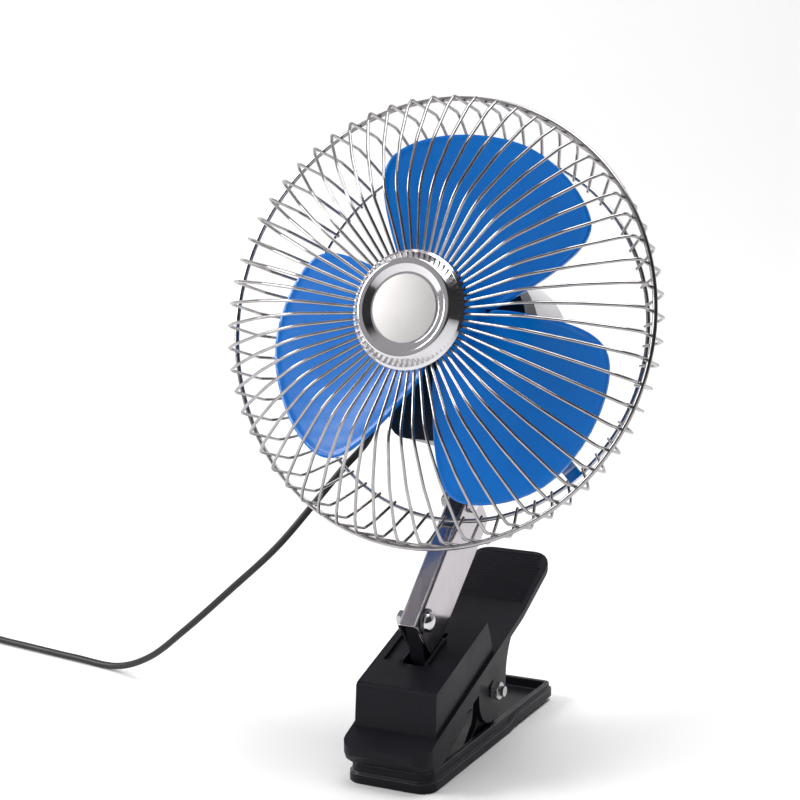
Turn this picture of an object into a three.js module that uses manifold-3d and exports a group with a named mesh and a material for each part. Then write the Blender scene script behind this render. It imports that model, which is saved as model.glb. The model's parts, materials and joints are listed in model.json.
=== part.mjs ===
// A clip-on car fan: a wire guard round three blades, a chrome stem and a spring clamp.
// Millimetres, +Z up. The fan faces -Y and stands on the lower jaw of its clamp.
import * as THREE from "three";
import { mergeVertices } from "three/addons/utils/BufferGeometryUtils.js";
import Module from "manifold-3d";

const wasm = await Module();
wasm.setup();

// Gaps that every piece shares
const fit = 0.3; // between pieces that touch
const overrun = 1; // how far a cutter passes the piece that it cuts
const weld = 0.35; // how deep welded wires sink into each other

// Screws, bolts and nuts
const boltDiameter = 5;
const boltHeadDiameter = 9.6;
const boltHeadHeight = 3.2;
const nutWidth = 8;
const nutHeight = 3.6;
const nutSides = 6;
const boltEnd = 2.4; // what shows past a nut
const washerRadius = 6;
const washerThickness = 1;
const headCrown = 0.75; // share of a head's height that its edge is rounded by

// Lower jaw: a long tray with a stepped rim
const jawWidth = 43;
const jawFront = 75; // ahead of the clamp's bolt
const jawRear = 72; // behind the bolt
const jawHeight = 9.3;
const jawStep = 2; // the underside is this much higher towards the rear
const jawStepStart = 16;
const jawStepEnd = 23;
const jawFrontCorner = 8;
const jawRearCorner = 4;
const jawWall = 2.2;
const jawFloor = 2.4;
const jawLedge = 1.2; // the upper half of the rim is drawn in by this
const jawLedgeHeight = 4.7;
const lugThickness = 3;
const lugRadius = 8.5;
const lugFoot = 34; // length of a lug along the tray
const clampBoltHeight = 26;

// Upper jaw: a sloping lever plate with a box on top and two cheeks below
const plateWidth = 43;
const plateThickness = 3.4;
const lipFront = 80;
const lipTop = 18.5;
const lipBottom = 10.1;
const lipDepth = 16; // along Y, before the plate starts to climb
const lipRise = 6.3;
const lipCorner = 7;
const lipWall = 2.6;
const lipNose = 8; // how thick the lip is at its front
const lipUndercut = 4.5; // its lower edge lies this much further back
const lipChin = 5; // height of the undercut
const plateBreakBehind = 30.5; // where the lever turns steeper, behind the bolt
const plateBreakHeight = 56.4;
const leverEnd = 70;
const leverEndHeight = 75.4;
const leverCorner = 10;
const skirtDepth = 6.4; // how far the plate's edge hangs over the throat
const skirtEnd = 21; // ahead of the bolt
const cheekThickness = 2.5;
const cheekRadius = 15.2;
const cheekGap = 0.5; // between a cheek and the lug inside it
const notchRadius = 4.2;
const ribCount = 16;
const ribHeight = 0.7;
const ribWidth = 1.1;
const ribPitch = 2.05;
const ribInset = 3;

// Box on the upper jaw, with a boss that stands between the stem's flanges
const boxFront = 65.4;
const boxFrontHeight = 43.6;
const boxPeak = 8.5; // ahead of the bolt
const boxPeakHeight = 61.3;
const boxBack = 0.5;
const boxTopWidth = 39;
const boxFootWidth = 40.4;
const boxWall = 2.2;
const boxCorner = 2.6;
const boxDraft = 1.2; // its front leans in by this much
const slotFront = 47;
const slotBack = 21;
const bossFootFront = 3.6; // behind the stem's pin
const bossFootBack = 16;
const stripHeight = 1.4; // raised strip beside each slot for a flange
const stripWidth = 1.8;
const stripBack = 27;

// Grip pads in the mouth
const gripWidth = 34;
const gripLength = 15;
const gripBack = 6; // from the front of the lower jaw
const gripThickness = 3.4;
const gripTeeth = 6;
const gripToothDepth = 0.8;

// Spring of the clamp
const springWireDiameter = 2.2;
const springTurns = 6;
const springPitch = 2.75;
const sleeveRadius = 5.8;
const sleeveBore = 2.9;
const springTurnSteps = 8;
const springUpperLeg = 30;
const springLowerLeg = 25.5;
const springUpperLegAngle = 31; // degrees above the horizontal
const springLowerLegAngle = -40;

// Stem: a bent channel, its web to the front, pinned at both ends
const stemPinAhead = 46; // ahead of the clamp's bolt
const stemPinHeight = 70;
const stemLength = 66.7; // pin to pin
const stemLean = 48.7; // degrees, backwards
const webWidth = 10;
const sheet = 1.2;
const webAhead = 5.5; // web face to the pins
const flangeLowDepth = 27;
const flangeHighDepth = 30;
const stemLowEnd = 6.7; // past the lower pin
const stemHighEnd = 8;
const bend = 2; // outside radius of the channel's bends
const flangeCorner = 5;

// Head, measured from the pin that it tilts on
const headPitch = 16.7; // degrees, facing up
const axisAbovePin = 77.2;
const tiltDown = 3; // degrees that the head can turn down from here
const ringAheadOfPin = 52.5; // the guard's front ring to the pin

// Guard: sixty radial wires welded to two rings
const wireCount = 60;
const wireRadius = 0.75;
const wireSides = 4;
const ringSides = 5;
const frontRingRadius = 102;
const frontRingWire = 1.2;
const rearRingInset = 15; // from the front ring's radius
const rearRingRadius = frontRingRadius - rearRingInset;
const rearRingWire = 1.05;
const rearRingBack = 37.4;
const wireFootRadius = 22;
const wireFootAhead = 27.4;
const kinkRadius = 55.2;
const kinkAhead = 35;
const bowRadius = 77;
const bowAhead = 27;
const shoulderInset = 7.4;
const shoulderRadius = frontRingRadius - shoulderInset;
const shoulderAhead = 16.4;
const rimAhead = 11;
const backRimBehind = 17.5;
const backBendInset = 5.2;
const backBendRadius = frontRingRadius - backBendInset;
const backBendBehind = 23.6;
const wireEndInset = 1.6; // from the rear ring's radius
const wireEndRadius = rearRingRadius - wireEndInset;

// Cap on the guard, two pressed discs that hold the wires' feet
const capRadius = 26.6;
const capRimAhead = 30.4;
const capCrestRadius = 21.6;
const capCrestAhead = 36.4;
const capDishRadius = 14.6;
const capDishAhead = 35.2;
const capSheet = 1;
const capBackRadius = 24;
const capScrewRadius = 2;

// Rotor: hub and three blades in one moulding
const bladeCount = 3;
const tipRadius = 87.5;
const bladePhase = 13; // degrees from straight up to the middle of the first blade
const bladeThickness = 1.6;
const bladeRise = 8.5; // how far each edge of a blade stands out of its mean plane, at the tip
const bladePlane = 11; // behind the guard's front ring
const bladeCup = 3;
const bladeRows = 4;
const bladeEdgeShares = [
  [-0.99, 0.27],
  [-0.93, 0.44],
  [-0.84, 0.68],
  [-0.76, 0.85],
  [-0.64, 0.95],
  [-0.46, 0.985],
  [-0.2, 1],
  [0.1, 1],
  [0.34, 0.985],
  [0.52, 0.945],
  [0.68, 0.865],
  [0.82, 0.74],
  [0.92, 0.58],
  [0.98, 0.42],
  [1, 0.27],
];
const bladeHalfAngle = 57; // degrees
const bladeWaist = 0.12; // share by which a blade is narrower at its root
const hubRadius = 17;
const hubFront = 0;
const hubBack = 21;
const hubWall = 2;
const hubBossRadius = 5;
const shaftRadius = 1.5;

// Motor housing: a moulded front, a chrome shell behind it and the motor inside
const housingFront = 25; // behind the front ring
const housingSeat = 40; // where the shell starts
const housingBack = 63;
const housingRadius = 33.6;
const boxNarrowing = 4.6; // the box below is this much narrower than the drum, each side
const housingHalfWidth = housingRadius - boxNarrowing;
const boxBelowDrum = 18.4;
const housingBelow = housingRadius + boxBelowDrum;
const housingCorner = 9;
const housingWall = 2;
const shellBack = 108;
const shellShoulder = 84;
const shellEndRadius = 17;
const shellSheet = 1.1;
const tongueRadius = 3.9; // round the tilt pin
const tongueBack = 15; // behind the pin
const tongueFront = 5; // ahead of the pin, above the stem
const tongueNeck = 10; // length of the tongue's front edge inside the stem
const tongueShoulder = 17; // above the pin
const motorRadius = 18;
const motorCorner = 1.8;
const motorBossBack = 54; // the housing's collar round the motor ends here
const motorFront = 31;
const motorBack = 88;
const bushRadius = 4;
const bushLength = 5;

// Arms that carry the guard on the housing
const armCount = 3;
const armWidth = 7;
const armThickness = 1.2;
const armFoot = 25; // radius at which an arm is screwed down
const armBendClear = 3; // past the corner of the box below the drum
const armBendRadius = housingHalfWidth * Math.SQRT2 + armBendClear; // radius at which it turns back towards the ring
const armPhase = 15; // degrees, so that each arm ends between two wires
const armScrewRadius = 2;
const armScrewHead = 1.4;
const armScrewHeadRadius = 3.6;

// Switch on the back of the housing
const switchWidth = 13;
const switchHeight = 9;
const switchBezel = 1.4;
const switchUnderShell = 5.3;
const switchBelow = housingRadius + switchUnderShell + switchHeight / 2; // its middle, under the axis
const rockerWidth = 9.6;
const rockerHeight = 6;
const rockerStand = 2;
const rockerAngle = 9; // degrees

// Cord, its gland and its plug
const cordDiameter = 3.5;
const cordSides = 8;
const glandRadius = 3.4;
const glandCollarRadius = 4.8;
const glandEndRadius = 4.1;
const glandLength = 9;
const glandBelow = 38;
const glandBehind = 45;
const coilTurnsIn = 4; // lower layer
const coilTurnsOut = 3.5; // upper layer
const coilDip = 1.2; // how far in the climb between the layers bows
const coilOuterRadius = 27;
const coilPitch = 4.05;
const coilLayer = 4.05;
const coilSteps = 24;
const coilSides = 6;
const plugRadius = 10.4;
const plugBodyLength = 34;
const plugGripRadius = 11.6;
const plugGripLength = 26;
const plugNoseRadius = 7.6;
const plugNoseLength = 9;
const plugTipRadius = 3;
const plugTipLength = 6;
const tipCrown = 0.8; // share of the tip's radius that its end is rounded by
const plugTailRadius = 4;
const plugTailLength = 9;
const plugNeckRadius = 5.2;
const plugRimRadius = 6.1;
const contactLength = 16;
const contactWidth = 4;
const contactStand = 1.6;

const xAxis = new THREE.Vector3(1, 0, 0);
const yAxis = new THREE.Vector3(0, 1, 0);
const zAxis = new THREE.Vector3(0, 0, 1);
const half = 0.5;
const radians = THREE.MathUtils.degToRad;

const black = new THREE.MeshStandardMaterial({ color: 0x17181a, roughness: 0.45, metalness: 0 });
const rubber = new THREE.MeshStandardMaterial({ color: 0x101011, roughness: 0.85, metalness: 0 });
const chrome = new THREE.MeshStandardMaterial({ color: 0xd8dade, roughness: 0.12, metalness: 1 });
const zinc = new THREE.MeshStandardMaterial({ color: 0xb9b7ae, roughness: 0.35, metalness: 1 });
const steel = new THREE.MeshStandardMaterial({ color: 0x8d9094, roughness: 0.4, metalness: 1 });
const bronze = new THREE.MeshStandardMaterial({ color: 0xa9793f, roughness: 0.45, metalness: 1 });
const blue = new THREE.MeshStandardMaterial({ color: 0x0b5fd0, roughness: 0.22, metalness: 0 });

// A closed geometry as a solid that can be joined and cut.
function solidOf(geometry) {
  const bare = geometry.clone();
  bare.deleteAttribute("normal");
  bare.deleteAttribute("uv");
  const merged = mergeVertices(bare);
  return new wasm.Manifold(
    new wasm.Mesh({
      numProp: 3,
      vertProperties: merged.attributes.position.array,
      triVerts: new Uint32Array(merged.index.array),
    }),
  );
}

// A solid's faces as a geometry.
function facesOf(solid) {
  const mesh = solid.getMesh();
  const geometry = new THREE.BufferGeometry();
  geometry.setAttribute("position", new THREE.BufferAttribute(mesh.vertProperties, 3));
  geometry.setIndex(new THREE.BufferAttribute(mesh.triVerts, 1));
  return geometry;
}

function join(...pieces) {
  return facesOf(pieces.map(solidOf).reduce((whole, piece) => whole.add(piece)));
}

function cut(piece, ...tools) {
  return facesOf(tools.map(solidOf).reduce((whole, tool) => whole.subtract(tool), solidOf(piece)));
}

function common(...pieces) {
  return facesOf(pieces.map(solidOf).reduce((whole, piece) => whole.intersect(piece)));
}

// The tightest convex body round pieces.
function hull(...pieces) {
  return facesOf(pieces.map(solidOf).reduce((whole, piece) => whole.add(piece)).hull());
}

// An outline from corners [x, y, radius], each corner with a radius rounded by an arc.
function outline(corners, steps = 4) {
  const points = [];
  corners.forEach(([x, y, radius], i) => {
    const corner = new THREE.Vector2(x, y);
    if (!radius) {
      points.push(corner);
      return;
    }
    const before = corners.at(i - 1);
    const after = corners[(i + 1) % corners.length];
    const back = new THREE.Vector2(before[0], before[1]).sub(corner).normalize();
    const on = new THREE.Vector2(after[0], after[1]).sub(corner).normalize();
    const opening = Math.acos(THREE.MathUtils.clamp(back.dot(on), -1, 1)) * half;
    const middle = back.clone().add(on).normalize().multiplyScalar(radius / Math.sin(opening));
    const centre = corner.clone().add(middle);
    const start = corner.clone().addScaledVector(back, radius / Math.tan(opening)).sub(centre);
    const end = corner.clone().addScaledVector(on, radius / Math.tan(opening)).sub(centre);
    const sweep = Math.atan2(start.cross(end), start.dot(end));
    for (let step = 0; step <= steps; step++) {
      const turned = start.clone().rotateAround(new THREE.Vector2(), (sweep * step) / steps);
      points.push(turned.add(centre));
    }
  });
  return points;
}

// A rectangle's corners, centred on x = 0.
function boxCorners(width, low, high, lowRadius, highRadius) {
  return [
    [-width * half, low, lowRadius],
    [width * half, low, lowRadius],
    [width * half, high, highRadius],
    [-width * half, high, highRadius],
  ];
}

// An outline in X and Y, raised along Z.
function plan(points, bottom, top) {
  const options = { depth: top - bottom, bevelEnabled: false };
  return new THREE.ExtrudeGeometry(new THREE.Shape(points), options).translate(0, 0, bottom);
}

// An outline in Y and Z, stretched along X.
function side(points, left, right) {
  const options = { depth: right - left, bevelEnabled: false };
  const across = new THREE.Matrix4().makeBasis(yAxis, zAxis, xAxis);
  const prism = new THREE.ExtrudeGeometry(new THREE.Shape(points), options);
  return prism.applyMatrix4(across).translate(left, 0, 0);
}

// An outline in X and Z, stretched along Y.
function front(points, near, far) {
  const options = { depth: far - near, bevelEnabled: false };
  const prism = new THREE.ExtrudeGeometry(new THREE.Shape(points), options);
  return prism.rotateX(Math.PI * half).translate(0, far, 0);
}

// A box between two corners.
function block(left, right, near, far, bottom, top) {
  const box = new THREE.BoxGeometry(right - left, far - near, top - bottom);
  return box.translate((left + right) * half, (near + far) * half, (bottom + top) * half);
}

// A profile of [radius, place] turned about the Y axis.
function turned(profile, segments = 32) {
  const points = profile.map(([radius, place]) => new THREE.Vector2(radius, place));
  if (THREE.ShapeUtils.area(points) < 0) points.reverse();
  if (points[0].x > 0) points.push(points[0].clone());
  return new THREE.LatheGeometry(points, segments);
}

// A round bar along X.
function bar(radius, left, right, segments = 12) {
  const cylinder = new THREE.CylinderGeometry(radius, radius, right - left, segments);
  return cylinder.rotateZ(Math.PI * half).translate((left + right) * half, 0, 0);
}

// A curve through points that puts one step on each point.
class Route extends THREE.Curve {
  constructor(points) {
    super();
    this.points = points;
  }

  getPoint(share, target = new THREE.Vector3()) {
    const last = this.points.length - 1;
    const at = share * last;
    const i = Math.min(Math.floor(at), last - 1);
    return target.lerpVectors(this.points[i], this.points[i + 1], at - i);
  }

  getPointAt(share, target) {
    return this.getPoint(share, target);
  }

  getTangentAt(share, target = new THREE.Vector3()) {
    const last = this.points.length - 1;
    const i = Math.round(share * last);
    const here = this.points[i];
    const before = here.clone().sub(this.points[Math.max(i - 1, 0)]).normalize();
    const after = this.points[Math.min(i + 1, last)].clone().sub(here).normalize();
    return target.copy(before).add(after).normalize();
  }
}

// A tube through points, with closed ends.
function tube(points, radius, sides) {
  const ring = [];
  for (let i = 0; i < sides; i++) {
    const angle = (2 * Math.PI * (i + half)) / sides;
    ring.push(new THREE.Vector2(radius * Math.cos(angle), radius * Math.sin(angle)));
  }
  const options = { steps: points.length - 1, bevelEnabled: false, extrudePath: new Route(points) };
  return new THREE.ExtrudeGeometry(new THREE.Shape(ring), options);
}

// What of a piece lies to the right (1) or the left (-1) of a place on X.
function trimmed(piece, way, place) {
  return facesOf(solidOf(piece).trimByPlane([way, 0, 0], way * place));
}

function named(name, geometry, material) {
  const mesh = new THREE.Mesh(geometry, material);
  mesh.name = name;
  return mesh;
}

// The lower jaw's outline from the side, its bottom raised by `lift` and its top at `top`,
// which `rise` lifts towards the rear.
function jawSide(lift, top, rise = jawStep) {
  return [
    [-jawFront - overrun, lift],
    [jawStepStart, lift],
    [jawStepEnd, lift + jawStep],
    [jawRear + overrun, lift + jawStep],
    [jawRear + overrun, top + rise],
    [jawStepEnd, top + rise],
    [jawStepStart, top],
    [-jawFront - overrun, top],
  ].map(([y, z]) => new THREE.Vector2(y, z));
}

// The lower jaw's outline from above, drawn in all round.
function jawPlan(inset) {
  const corners = boxCorners(
    jawWidth - 2 * inset,
    inset - jawFront,
    jawRear - inset,
    jawFrontCorner - inset,
    Math.max(jawRearCorner - inset, fit),
  );
  return outline(corners, 5);
}

// A lug of the lower jaw, which the clamp's bolt goes through.
function lug(left, right) {
  const foot = jawFloor * half;
  const points = outline([
    [-lugFoot * half - lugRadius, foot, 0],
    [lugRadius, foot, 0],
    [lugRadius, clampBoltHeight + lugRadius, lugRadius],
    [-lugRadius, clampBoltHeight + lugRadius, lugRadius],
    [-lugRadius - lugThickness, clampBoltHeight * half, lugRadius],
  ]);
  return side(points, left, right);
}

function lowerJaw() {
  const deep = jawHeight + jawStep + overrun;
  const foot = common(
    plan(jawPlan(0), -overrun, deep),
    side(jawSide(0, jawLedgeHeight), -jawWidth, jawWidth),
  );
  const rim = common(
    plan(jawPlan(jawLedge), -overrun, deep),
    side(jawSide(jawFloor * half, jawHeight, 0), -jawWidth, jawWidth),
  );
  const pocket = common(
    plan(jawPlan(jawLedge + jawWall), -overrun, deep + overrun),
    side(jawSide(jawFloor, jawHeight + jawStep + overrun), -jawWidth, jawWidth),
  );
  const lugOuter = plateWidth * half - cheekThickness * 2 - cheekGap;
  const lugs = [lug(-lugOuter, lugThickness - lugOuter), lug(lugOuter - lugThickness, lugOuter)];
  const hole = bar(boltDiameter * half + fit, -jawWidth, jawWidth).translate(0, 0, clampBoltHeight);
  return cut(join(cut(join(foot, rim), pocket), ...lugs), hole);
}

// The slope of the lever plate ahead of its break.
const plateStart = -lipFront + lipDepth;
const plateStartHeight = lipTop + lipRise;
const plateSlope = (plateBreakHeight - plateStartHeight) / (plateBreakBehind - plateStart);

function plateHeightAt(y) {
  return plateStartHeight + plateSlope * (y - plateStart);
}

// The lever plate from the side: its top line, and the same line `deep` lower.
function plateSide(deep) {
  const top = [
    [-lipFront - overrun, lipTop - (overrun * lipRise) / lipDepth],
    [plateStart, plateStartHeight],
    [plateBreakBehind, plateBreakHeight],
    [leverEnd + overrun, leverEndHeight + overrun * half],
  ];
  const under = top.map(([y, z]) => [y, z - deep]).reverse();
  return top.concat(under).map(([y, z]) => new THREE.Vector2(y, z));
}

// The upper jaw's outline from above, drawn in all round and by `nose` at the front.
function platePlan(inset, nose = inset) {
  const corners = boxCorners(
    plateWidth - 2 * inset,
    nose - lipFront,
    leverEnd - inset,
    lipCorner - inset,
    leverCorner - inset,
  );
  return outline(corners, 5);
}

// The front lip: a low wall under the front of the plate, with a rounded nose.
function lip() {
  const tall = plateStartHeight + overrun;
  const hollow = plan(platePlan(lipWall, lipNose), lipBottom - overrun, tall + overrun);
  const wall = cut(plan(platePlan(0), lipBottom - overrun, tall), hollow);
  const reach = side(
    outline([
      [-lipFront, lipBottom + lipChin, lipChin * half],
      [lipUndercut - lipFront, lipBottom, 0],
      [plateStart, lipBottom, 0],
      [-skirtEnd, plateHeightAt(-skirtEnd) - skirtDepth - plateThickness, 0],
      [-skirtEnd, plateHeightAt(-skirtEnd) - plateThickness * half, 0],
      [plateStart, plateStartHeight - plateThickness * half, 0],
      [-lipFront, lipTop - plateThickness * half, 0],
    ]),
    -plateWidth,
    plateWidth,
  );
  return common(wall, reach);
}

// The block above the upper grip pad, which holds it.
function padSeat() {
  const near = lipNose - lipFront - fit;
  const far = gripBack + gripLength - jawFront;
  const bottom = lipBottom + gripThickness + fit;
  const points = outline([
    [near, bottom, 0],
    [far, bottom, 0],
    [far, plateHeightAt(far) - plateThickness * half, 0],
    [plateStart, plateStartHeight - plateThickness * half, 0],
    [near, plateStartHeight - lipRise * half - plateThickness * half, 0],
  ]);
  return side(points, -gripWidth * half, gripWidth * half);
}

// A skirt under each edge of the plate, between the lip and the cheek.
function skirt(left, right) {
  const line = (y, drop) => [y, plateHeightAt(y) - drop, 0];
  const points = outline([
    line(plateStart - lipDepth * half, plateThickness * half),
    line(plateStart - lipDepth * half, skirtDepth + plateThickness * half),
    line(-skirtEnd, skirtDepth + plateThickness * half),
    line(-skirtEnd, plateThickness * half),
  ]);
  return side(points, left, right);
}

// A cheek that hangs from the plate and turns on the clamp's bolt.
function cheek(left, right) {
  const under = (y) => plateHeightAt(y) - plateThickness * half;
  const bottom = clampBoltHeight - cheekRadius;
  const points = outline(
    [
      [-skirtEnd, under(-skirtEnd), 0],
      [-skirtEnd, under(-skirtEnd) - skirtDepth, 0],
      [-skirtEnd + notchRadius, under(-skirtEnd) - skirtDepth, notchRadius],
      [-cheekRadius, bottom, cheekRadius],
      [cheekRadius, bottom, cheekRadius],
      [cheekRadius, clampBoltHeight + cheekRadius, cheekRadius * 2],
      [plateBreakBehind, under(plateBreakBehind), 0],
    ],
    6,
  );
  return side(points, left, right);
}

// The box on top of the plate: narrower at its top, rounded at its edges and open below.
function boxShell(inset) {
  const slope = (boxPeakHeight - boxFrontHeight) / (boxFront - boxPeak);
  const drop = inset * Math.hypot(1, slope);
  const shape = outline([
    [-boxFront - boxDraft + inset, plateHeightAt(-boxFront) - plateThickness - overrun, 0],
    [-boxFront + inset, boxFrontHeight - drop, inset ? 0 : boxCorner],
    [-boxPeak - inset, boxPeakHeight - drop, 0],
    [-boxBack - inset, plateHeightAt(-boxBack) - plateThickness - overrun, 0],
  ]);
  const low = lipTop;
  const high = boxPeakHeight + overrun;
  const top = boxTopWidth * half - inset;
  const foot = boxFootWidth * half - inset;
  const across = outline([
    [-foot, low, 0],
    [foot, low, 0],
    [top, high, 0],
    [-top, high, 0],
  ]);
  return common(side(shape, -boxFootWidth, boxFootWidth), front(across, -lipFront, leverEnd));
}

function boxTopHeightAt(y) {
  return boxFrontHeight + ((y + boxFront) * (boxPeakHeight - boxFrontHeight)) / (boxFront - boxPeak);
}

// The boss between the stem's flanges: it narrows from its foot on the box to the pin.
const bossRadius = webAhead - sheet - fit;
const bossHalf = webWidth * half - sheet - fit;

function boss() {
  const foot = (y, drop) => [y - stemPinAhead, boxTopHeightAt(y - stemPinAhead) - drop, 0];
  const points = outline([
    foot(bossFootFront, boxWall * half),
    foot(bossFootFront, 0),
    foot(bossFootBack, 0),
    foot(bossFootBack, boxWall * half),
  ]);
  const top = bar(bossRadius, -bossHalf, bossHalf, 20).translate(0, -stemPinAhead, stemPinHeight);
  return hull(side(points, -bossHalf, bossHalf), top);
}

// The room for a flange of the stem in the top of the box, at the left or the right.
function flangeSlot(left, right) {
  return block(left, right, -slotFront, -slotBack, lipTop, boxPeakHeight + overrun);
}

// A raised strip beside such a slot.
function slotStrip(left, right) {
  const points = outline([
    [-slotFront, boxTopHeightAt(-slotFront) - boxWall * half, 0],
    [-slotFront, boxTopHeightAt(-slotFront) + stripHeight, 0],
    [-stripBack, boxTopHeightAt(-stripBack) + stripHeight, 0],
    [-stripBack, boxTopHeightAt(-stripBack) - boxWall * half, 0],
  ]);
  return side(points, left, right);
}

// Grip ribs across the end of the lever.
function leverRibs() {
  const slope = (leverEndHeight - plateBreakHeight) / (leverEnd - plateBreakBehind);
  const ribs = [];
  for (let i = 0; i < ribCount; i++) {
    const back = leverEnd - ribInset - i * ribPitch;
    const low = leverEndHeight + slope * (back - leverEnd);
    const inset = i * ribPitch + ribInset < leverCorner ? leverCorner * half : ribInset;
    const width = plateWidth * half - inset;
    const points = outline([
      [back - ribWidth * half, low - ribHeight, 0],
      [back + ribWidth * half, low - ribHeight, 0],
      [back, low + ribHeight, 0],
    ]);
    ribs.push(side(points, -width, width));
  }
  return ribs;
}

function upperJaw() {
  const tall = leverEndHeight + overrun * 2;
  const plate = common(plan(platePlan(0), 0, tall), side(plateSide(plateThickness), -plateWidth, plateWidth));
  const edge = plateWidth * half;
  const cheekOuter = edge - cheekThickness;
  const pieces = [
    plate,
    lip(),
    skirt(-edge, lipWall - edge),
    skirt(edge - lipWall, edge),
    cheek(-cheekOuter, cheekThickness - cheekOuter),
    cheek(cheekOuter - cheekThickness, cheekOuter),
    boxShell(0),
    ...leverRibs(),
  ];
  const slotEdge = webWidth * half + fit;
  const strips = [slotStrip(-slotEdge - stripWidth, -slotEdge), slotStrip(slotEdge, slotEdge + stripWidth)];
  const slots = [
    flangeSlot(-slotEdge, -bossHalf),
    flangeSlot(bossHalf, slotEdge),
    block(-slotEdge, slotEdge, -slotFront, bossFootFront - stemPinAhead, lipTop, boxPeakHeight + overrun),
  ];
  const boltHole = bar(boltDiameter * half + fit, -jawWidth, jawWidth);
  const clampHole = boltHole.clone().translate(0, 0, clampBoltHeight);
  const pinHole = boltHole.clone().translate(0, -stemPinAhead, stemPinHeight);
  const hollow = cut(join(...pieces), boxShell(boxWall));
  return cut(join(cut(hollow, ...slots), ...strips, boss(), padSeat()), clampHole, pinHole);
}

// A rubber pad with teeth, in the mouth of the clamp: facing up, or down when turned over.
function gripPad(bottom, top, teethUp) {
  const near = gripBack - jawFront;
  const far = near + gripLength;
  const pitch = gripLength / gripTeeth;
  const tooth = teethUp ? -gripToothDepth : gripToothDepth;
  const points = teethUp ? [[near, bottom], [far, bottom]] : [[near, top], [far, top]];
  const face = teethUp ? top : bottom;
  for (let i = gripTeeth; i > 0; i--) {
    points.push([near + i * pitch, face], [near + (i - half) * pitch, face + tooth]);
  }
  points.push([near, face]);
  return side(points.map(([y, z]) => new THREE.Vector2(y, z)), -gripWidth * half, gripWidth * half);
}

// A bolt or screw along X: its head at the right, a hexagonal nut at the left.
function screw(left, right, headHeight) {
  const radius = boltHeadDiameter * half;
  const profile = outline([
    [0, 0, 0],
    [radius, 0, 0],
    [radius, headHeight, headHeight * headCrown],
    [0, headHeight, 0],
  ], 3);
  const head = turned(profile.map((p) => [p.x, p.y]), 16).rotateZ(-Math.PI * half).translate(right, 0, 0);
  return join(bar(boltDiameter * half, left, right + headHeight * half), head);
}

function nut(left) {
  const radius = (nutWidth * half) / Math.cos(Math.PI / nutSides);
  const body = new THREE.CylinderGeometry(radius, radius, nutHeight, nutSides);
  const hole = bar(boltDiameter * half + fit, left - overrun, left + nutHeight + overrun);
  return cut(body.rotateZ(Math.PI * half).translate(left + nutHeight * half, 0, 0), hole);
}

function washer(left) {
  const disc = bar(washerRadius, left, left + washerThickness, 24);
  return cut(disc, bar(boltDiameter * half + fit, left - overrun, left + washerThickness + overrun));
}

// The clamp's torsion spring: a helix round its sleeve and two straight legs.
const springRadius = (sleeveRadius + fit) / Math.cos(Math.PI / springTurnSteps) + springWireDiameter * half;

function springPath() {
  const points = [];
  const start = radians(springLowerLegAngle) - Math.PI * half;
  const end = radians(springUpperLegAngle) + Math.PI * half;
  const sweep = 2 * Math.PI * springTurns + (start - end + 2 * Math.PI);
  const steps = Math.round((sweep / (2 * Math.PI)) * springTurnSteps);
  const at = (share) => {
    const angle = start - sweep * share;
    const x = (share - half) * springTurns * springPitch;
    return new THREE.Vector3(x, springRadius * Math.cos(angle), springRadius * Math.sin(angle));
  };
  const leg = (from, reach, degrees) => {
    const along = new THREE.Vector3(0, Math.cos(radians(degrees)), Math.sin(radians(degrees)));
    return from.clone().addScaledVector(along, reach);
  };
  points.push(leg(at(0), springLowerLeg, springLowerLegAngle));
  for (let i = 0; i <= steps; i++) points.push(at(i / steps));
  points.push(leg(at(1), springUpperLeg, springUpperLegAngle));
  return points;
}

// The stem: a channel cut from a block, its flanges deeper towards the head.
function stem() {
  const low = -stemLowEnd;
  const high = stemLength + stemHighEnd;
  const outer = outline([
    [-webWidth * half, -webAhead, bend],
    [webWidth * half, -webAhead, bend],
    [webWidth * half, flangeHighDepth, 0],
    [-webWidth * half, flangeHighDepth, 0],
  ]);
  const inner = outline([
    [sheet - webWidth * half, sheet - webAhead, bend - sheet],
    [webWidth * half - sheet, sheet - webAhead, bend - sheet],
    [webWidth * half - sheet, flangeHighDepth + overrun, 0],
    [sheet - webWidth * half, flangeHighDepth + overrun, 0],
  ]);
  const channel = cut(plan(outer, low, high), plan(inner, low - overrun, high + overrun));
  const sideShape = outline([
    [-webAhead - overrun, low, 0],
    [flangeLowDepth - webAhead, low, flangeCorner],
    [flangeHighDepth - webAhead, high, flangeCorner],
    [-webAhead - overrun, high, 0],
  ]);
  const holes = [0, stemLength].map((z) => bar(boltDiameter * half + fit, -webWidth, webWidth).translate(0, 0, z));
  return cut(common(channel, side(sideShape, -webWidth, webWidth)), ...holes);
}

// How near the flats of a wire and of the rings come to their middles.
const wireFlat = wireRadius * Math.cos(Math.PI / wireSides);
const ringFlat = (wire) => wire * Math.cos(Math.PI / ringSides);
const ringInside = (frontRingRadius - ringFlat(frontRingWire)) * Math.cos(Math.PI / wireCount);
const rimRadius = ringInside - wireFlat + weld;

// One guard wire in the plane x = 0, from its foot under the cap to its end at the rear ring.
function wirePath() {
  return [
    [wireFootRadius, -wireFootAhead],
    [kinkRadius, -kinkAhead],
    [bowRadius, -bowAhead],
    [shoulderRadius, -shoulderAhead],
    [rimRadius, -rimAhead],
    [rimRadius, backRimBehind],
    [backBendRadius, backBendBehind],
    [wireEndRadius, rearRingBack],
  ].map(([radius, place]) => new THREE.Vector3(0, place, radius));
}

// The rear ring lies against the outside of the wires' last length.
const lastLength = new THREE.Vector2(backBendRadius - wireEndRadius, backBendBehind - rearRingBack).normalize();
const ringLap = wireFlat + ringFlat(rearRingWire) - weld;
const rearRingPlace =
  rearRingBack + (ringLap + (rearRingRadius - wireEndRadius) * lastLength.y) / lastLength.x;

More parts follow.
